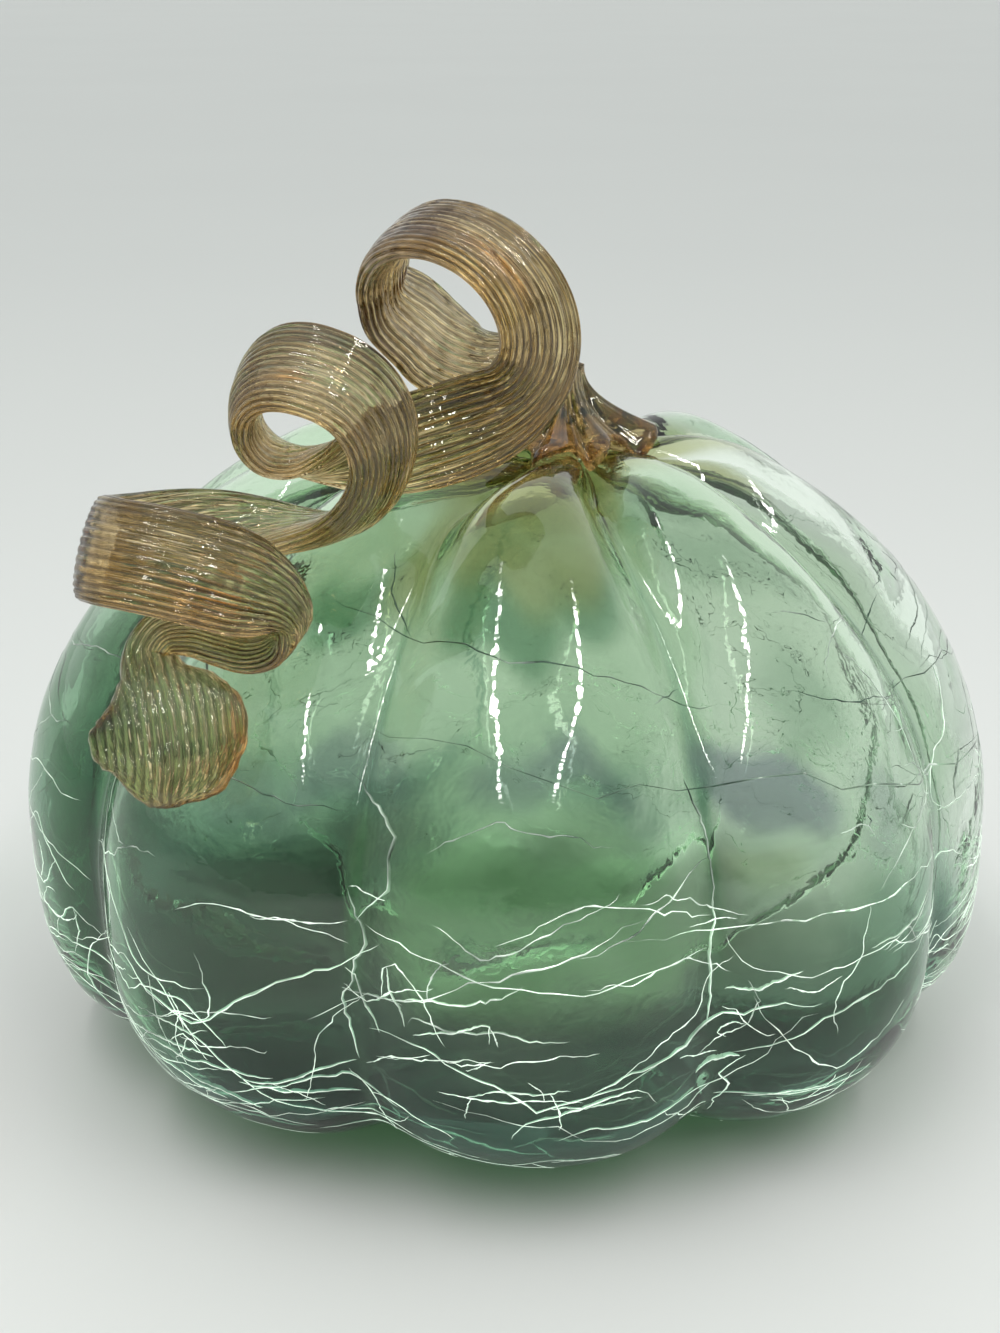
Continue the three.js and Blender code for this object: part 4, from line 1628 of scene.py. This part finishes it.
    def strap(self) -> tuple[Array, Array, Array]:
        """Rings of the strap, swept along smooth curves through the stations.

        Returns:
            Points as rings x around x 3, the distance of each ring along the strap, and the ribs.
        """
        centres, widths, sizes = self.stations()
        dense = np.linspace(0, len(centres) - 1, 12001)
        path = catmull_rom(centres, dense, 0.5)
        along = distances(path)
        even = np.linspace(0, along[-1], int(along[-1] / self.step))
        tip = np.clip((along[-1] - even) / self.tip_rounding, 0, 1)
        even = np.where(tip < 1, along[-1] - self.tip_rounding * tip**self.tip_easing, even)
        places = np.interp(even, along, dense)
        centre = catmull_rom(centres, places, 0.5)
        tangent = unit(np.gradient(path, axis=0))
        tangent = unit(np.stack([np.interp(places, dense, tangent[:, k]) for k in range(3)], -1))
        across = catmull_rom(widths, places, 0.0)
        across = unit(across - tangent * (across * tangent).sum(axis=1, keepdims=True))
        through = np.cross(tangent, across)
        half = catmull_rom(sizes, places, 0.0)
        angle = self.section_angles()[None]
        width, thickness = half[:, :1], half[:, 1:]
        flat = self.oval(angle, width, thickness)
        normal = unit(np.stack([np.cos(angle) / width, np.sin(angle) / thickness], -1))
        ribs = self.rib_pattern(even[:, None], width)
        away = (even[:, None] - self.flat_turn) / self.flat_half
        low = 1 - self.flat_share * np.exp(-(away**2))
        rib = self.rib_height * ribs * low * np.minimum(thickness / self.half_thickness, 1)
        flat = flat + normal * rib[..., None]
        rings = centre[:, None] + flat[..., :1] * across[:, None] + flat[..., 1:] * through[:, None]
        return rings, even, ribs

    def foot_reach(self, azimuth: Array) -> Array:
        """Reach of the foot from the neck axis: a round seat with toes drawn out of it.

        Args:
            azimuth: angles on the shell.

        Returns:
            The reach at each angle.
        """
        direction, reach, spread = np.array(self.toes).T[:, :, None]
        turn = np.radians(direction) - azimuth[None]
        away = np.arctan2(np.sin(turn), np.cos(turn))
        share = np.exp(-((away / np.radians(spread)) ** 2))
        return (self.foot_radius + (reach - self.foot_radius) * share).max(axis=0)

    def foot(self, target: Array) -> tuple[Array, Array]:
        """Rings of the foot: plug in the neck, underside, edge, and the flare up to the column.

        Args:
            target: first ring of the column.

        Returns:
            The pole under the plug, and the rings.
        """
        column = self.column[0]
        first = np.arctan2(column[4], column[3]) + RIGHT_ANGLE
        azimuth = first + self.section_angles()

        def seat(radius: object) -> Array:
            """Points just over the shell at a distance from its axis."""
            level = self.shell.level_at(radius, -self.seat_clearance)
            return self.shell.points(azimuth, level, -self.seat_clearance)

        plug_radius = self.shell.neck_radius - self.plug_clearance
        plug = seat(np.full_like(azimuth, plug_radius))
        middle = plug.mean(axis=0)
        reach = self.foot_reach(azimuth)

        def lowered(drop: float, shrink: float) -> Array:
            """The plug's ring, lowered and drawn in toward its middle."""
            moved = (plug + (middle - plug) * shrink / plug_radius)[:, :2]
            return np.insert(moved, 2, middle[2] - drop, axis=1)

        rim = seat(reach)
        under = [seat(plug_radius + (reach - plug_radius) * share) for share in self.foot_rows]
        edge = rim + (target - rim) * self.edge_slope + [0, 0, self.foot_edge]
        round_edge = 0.5 * (rim + edge) + unit(rim - middle) * self.foot_bulge
        share = (np.arange(1, self.flare_rows + 1) / (self.flare_rows + 1))[:, None, None]
        flare = edge + (target - edge) * (1 - (1 - share) ** self.foot_flare)
        flare[..., 2] = edge[:, 2] + (target[:, 2] - edge[:, 2]) * share[..., 0]
        pole = middle - [0, 0, self.plug_depth]
        chamfer = lowered(self.plug_depth, self.plug_chamfer)
        top = lowered(self.plug_depth - self.plug_chamfer, 0)
        seated = np.stack([chamfer, top, plug, *under, rim, round_edge, edge])
        return pole, np.concatenate([seated, flare])

    def stains_and_light(self, along: Array, turn: Array) -> Array:
        """Shares of all tints: at each place a tint is as strong as its strongest spot.

        Args:
            along: distances along the strap in mm.
            turn: angles round its section in degrees.

        Returns:
            One row for each place, one column for each tint.
        """
        shares = np.zeros((len(Tint), *np.broadcast_shapes(along.shape, turn.shape)))
        for spot in self.spots:
            row = shares[spot.tint.value]
            np.maximum(row, spot.shares(along, turn), out=row)
        return np.moveaxis(shares, 0, -1)

    def build(self) -> Piece:
        """Builds the stem as one closed body, and stores where each point lies on a straight rod.

        Returns:
            The piece.
        """
        strap, along, crests = self.strap()
        pole, foot = self.foot(strap[0])
        rings = np.concatenate([foot, strap])
        tip = self.shell.place_over(*self.paddle_tip)
        points = tube_points(pole, rings, tip)
        piece = make_object("ribbed_curled_stem", points, list(tube_faces(len(rings), self.around)))
        before = np.linspace(*self.foot_along, len(foot))
        distance = np.concatenate([before, along])
        rod, turn = self.ribs * self.rib_spacing / FULL_TURN, self.turns
        section = (rod * np.cos(turn), rod * np.sin(turn))
        straight = np.stack(np.broadcast_arrays(*section, distance[:, None]), -1)
        ends = np.array([[0, 0, before[0]], [0, 0, along[-1]]])
        add_attribute(piece, "strap", tube_points(ends[0], straight, ends[1]))
        shares = self.stains_and_light(distance[:, None], np.degrees(turn)[None])
        shares = tube_points(shares[0, 0], shares, shares[-1, 0])
        fading = np.linspace(0, 1, len(foot))[:, None] * crests[:1]
        crests = np.concatenate([fading, crests])[..., None]
        add_attribute(piece, "ribs", tube_points(crests[0, 0], crests, crests[-1, 0])[:, 0])
        add_attribute(piece, "tones", shares[:, :3])
        add_attribute(piece, "stains_and_light", shares[:, 3:])
        return piece


# ---- the studio


@dataclass
class Studio:
    """Pale floor, two overhead strip lights, soft surroundings and the camera."""

    camera_at: tuple[float, float, float] = (-0.6, -397.79, 209.68)
    camera_tilt: float = 71.0903
    camera_turn: float = 0.18657
    lens: float = 57.226
    sensor_width: float = 36.0
    clip: tuple[float, float] = (0.01, 50.0)
    floor_reach: float = 14.0
    floor_lines: int = 13
    strip_height: float = 1.0
    strip_places: tuple[float, float] = (-0.27, 0.42)
    strip_size: tuple[float, float] = (0.036, 1.7)
    strip_watts: float = 8.0
    strip_lamps: int = 17
    strip_fade: float = 0.7
    strip_ahead: float = -0.75
    strip_colour: tuple[float, float, float] = (1.0, 0.985, 0.96)
    lamp_step: tuple[float, float] = (-0.75, 0.1)
    lamp_gap: float = 0.05
    lamp_strength: float = 1.6
    front: Colour = (0.22, 0.23, 0.23, 1)
    back: Colour = (0.94, 0.97, 0.95, 1)
    overhead: Colour = (0.95, 0.97, 0.96, 1)
    seen: Colour = (0.60, 0.62, 0.605, 1)
    back_step: tuple[float, float] = (-0.8, 0.5)
    overhead_step: tuple[float, float] = (0.25, 0.9)
    overhead_share: float = 0.75
    floor: MatteFinish = MatteFinish("pale_floor", (0.68, 0.70, 0.685, 1))

    def build_camera(self) -> None:
        """Places the camera where the photograph was taken from."""
        data = bpy.data.cameras.new("camera")
        data.lens, data.sensor_width = self.lens, self.sensor_width
        data.clip_start, data.clip_end = self.clip
        camera = link_object("camera", data)
        camera.location = [part * MM for part in self.camera_at]
        camera.rotation_euler = (radians(self.camera_tilt), 0, radians(self.camera_turn))
        bpy.context.scene.camera = camera

    def build_floor(self) -> None:
        """Makes the level floor: a grid of squares whose lines lie wider apart farther out.

        Lines lie at the reach times the cube of even shares from -1 to 1.
        """
        lines = self.floor_reach * np.linspace(-1, 1, self.floor_lines) ** 3
        x, y = np.meshgrid(lines, lines, indexing="ij")
        rows = np.stack([x, y, np.zeros_like(x)], -1)
        count = len(lines)
        start = (np.arange(count - 1)[:, None] * count + np.arange(count - 1)[None]).ravel()
        faces = np.stack([start, start + count, start + count + 1, start + 1], -1)
        floor = make_object("floor", rows.reshape(-1, 3) / MM, [faces])
        floor.data.materials.append(self.floor.material())

    def build_lights(self) -> None:
        """Hangs the two strip lights, which run from over the object toward the camera.

        Each strip is a row of small lamps, bright in its middle and fading to its ends.
        """
        for index, place in enumerate(self.strip_places):
            data = bpy.data.lights.new(f"strip_{index + 1}", "AREA")
            data.shape = "RECTANGLE"
            data.size, data.size_y = self.strip_size
            data.energy = self.strip_watts
            data.color = self.strip_colour
            nodes = Nodes.of(data)
            along = nodes.parts(nodes.add("ShaderNodeNewGeometry").outputs["Parametric"])[1]
            turn = nodes.scaled(along, FULL_TURN * self.strip_lamps)
            lamps = nodes.between(nodes.math("COSINE", turn), *self.lamp_step)
            middle = nodes.math("SINE", nodes.scaled(along, pi))
            middle = nodes.math("POWER", middle, self.strip_fade)
            strength = nodes.math("MULTIPLY", nodes.math("ADD", lamps, self.lamp_gap), middle)
            strength = nodes.scaled(strength, self.lamp_strength)
            glow = nodes.add("ShaderNodeEmission", {"Strength": strength})
            nodes.add("ShaderNodeOutputLight", {"Surface": glow.outputs[0]})
            light = link_object(data.name, data)
            light.location = (place, self.strip_ahead, self.strip_height)
            light.visible_camera = False

    def build_world(self) -> None:
        """Makes the surroundings: pale behind and overhead, darker in front, even to the camera."""
        world = bpy.data.worlds.new("soft_studio")
        nodes = Nodes.of(world)
        direction = nodes.parts(nodes.add("ShaderNodeTexCoord").outputs["Generated"])
        colour = nodes.mix(nodes.between(direction[1], *self.back_step), self.front, self.back)
        up = nodes.scaled(nodes.between(direction[2], *self.overhead_step), self.overhead_share)
        colour = nodes.mix(up, colour, self.overhead)
        by_camera = nodes.add("ShaderNodeLightPath").outputs["Is Camera Ray"]
        colour = nodes.mix(by_camera, colour, self.seen)
        light = nodes.add("ShaderNodeBackground", {"Color": colour, "Strength": 1.0})
        nodes.add("ShaderNodeOutputWorld", {"Surface": light.outputs[0]})
        bpy.context.scene.world = world

    def build(self) -> None:
        """Builds the whole studio."""
        self.build_camera()
        self.build_floor()
        self.build_lights()
        self.build_world()


def render_rules() -> None:
    """Sets the view transform and how far light is followed through the glass."""
    scene = bpy.context.scene
    scene.view_settings.view_transform = "Standard"
    cycles = scene.cycles
    cycles.max_bounces = 28
    cycles.transmission_bounces = 28
    cycles.glossy_bounces = 8
    cycles.diffuse_bounces = 3
    cycles.transparent_max_bounces = 32
    cycles.volume_bounces = 0
    cycles.caustics_reflective = False
    cycles.caustics_refractive = False
    cycles.sample_clamp_indirect = 6.0


def dress(piece: Piece, material: Material, node: str) -> None:
    """Gives a finished piece its material and its body, and hides the solid that it stands for.

    Args:
        piece: the object.
        material: its material.
        node: solid that it replaces.
    """
    piece.data.materials.append(material)
    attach(piece, "root")
    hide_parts(node)
    LOG.info("%s: %d faces", piece.name, len(piece.data.polygons))


def main() -> None:
    """Builds the studio and the pieces of the pumpkin."""
    logging.basicConfig(level=logging.INFO, format="%(name)s: %(message)s")
    Studio().build()
    render_rules()
    group = hand_made_group()
    shell = BlownShell()
    green, amber, fissure = GreenGlass(), AmberGlass(), FissureGlass()
    dress(shell.build(), green.material(group), "pumpkin_body")
    dress(Crackle(shell).build(), fissure.material(), "pumpkin_body")
    dress(CurledStem(shell).build(), amber.material(group), "curled_stem")
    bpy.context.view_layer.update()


if __name__ == "__main__":
    main()
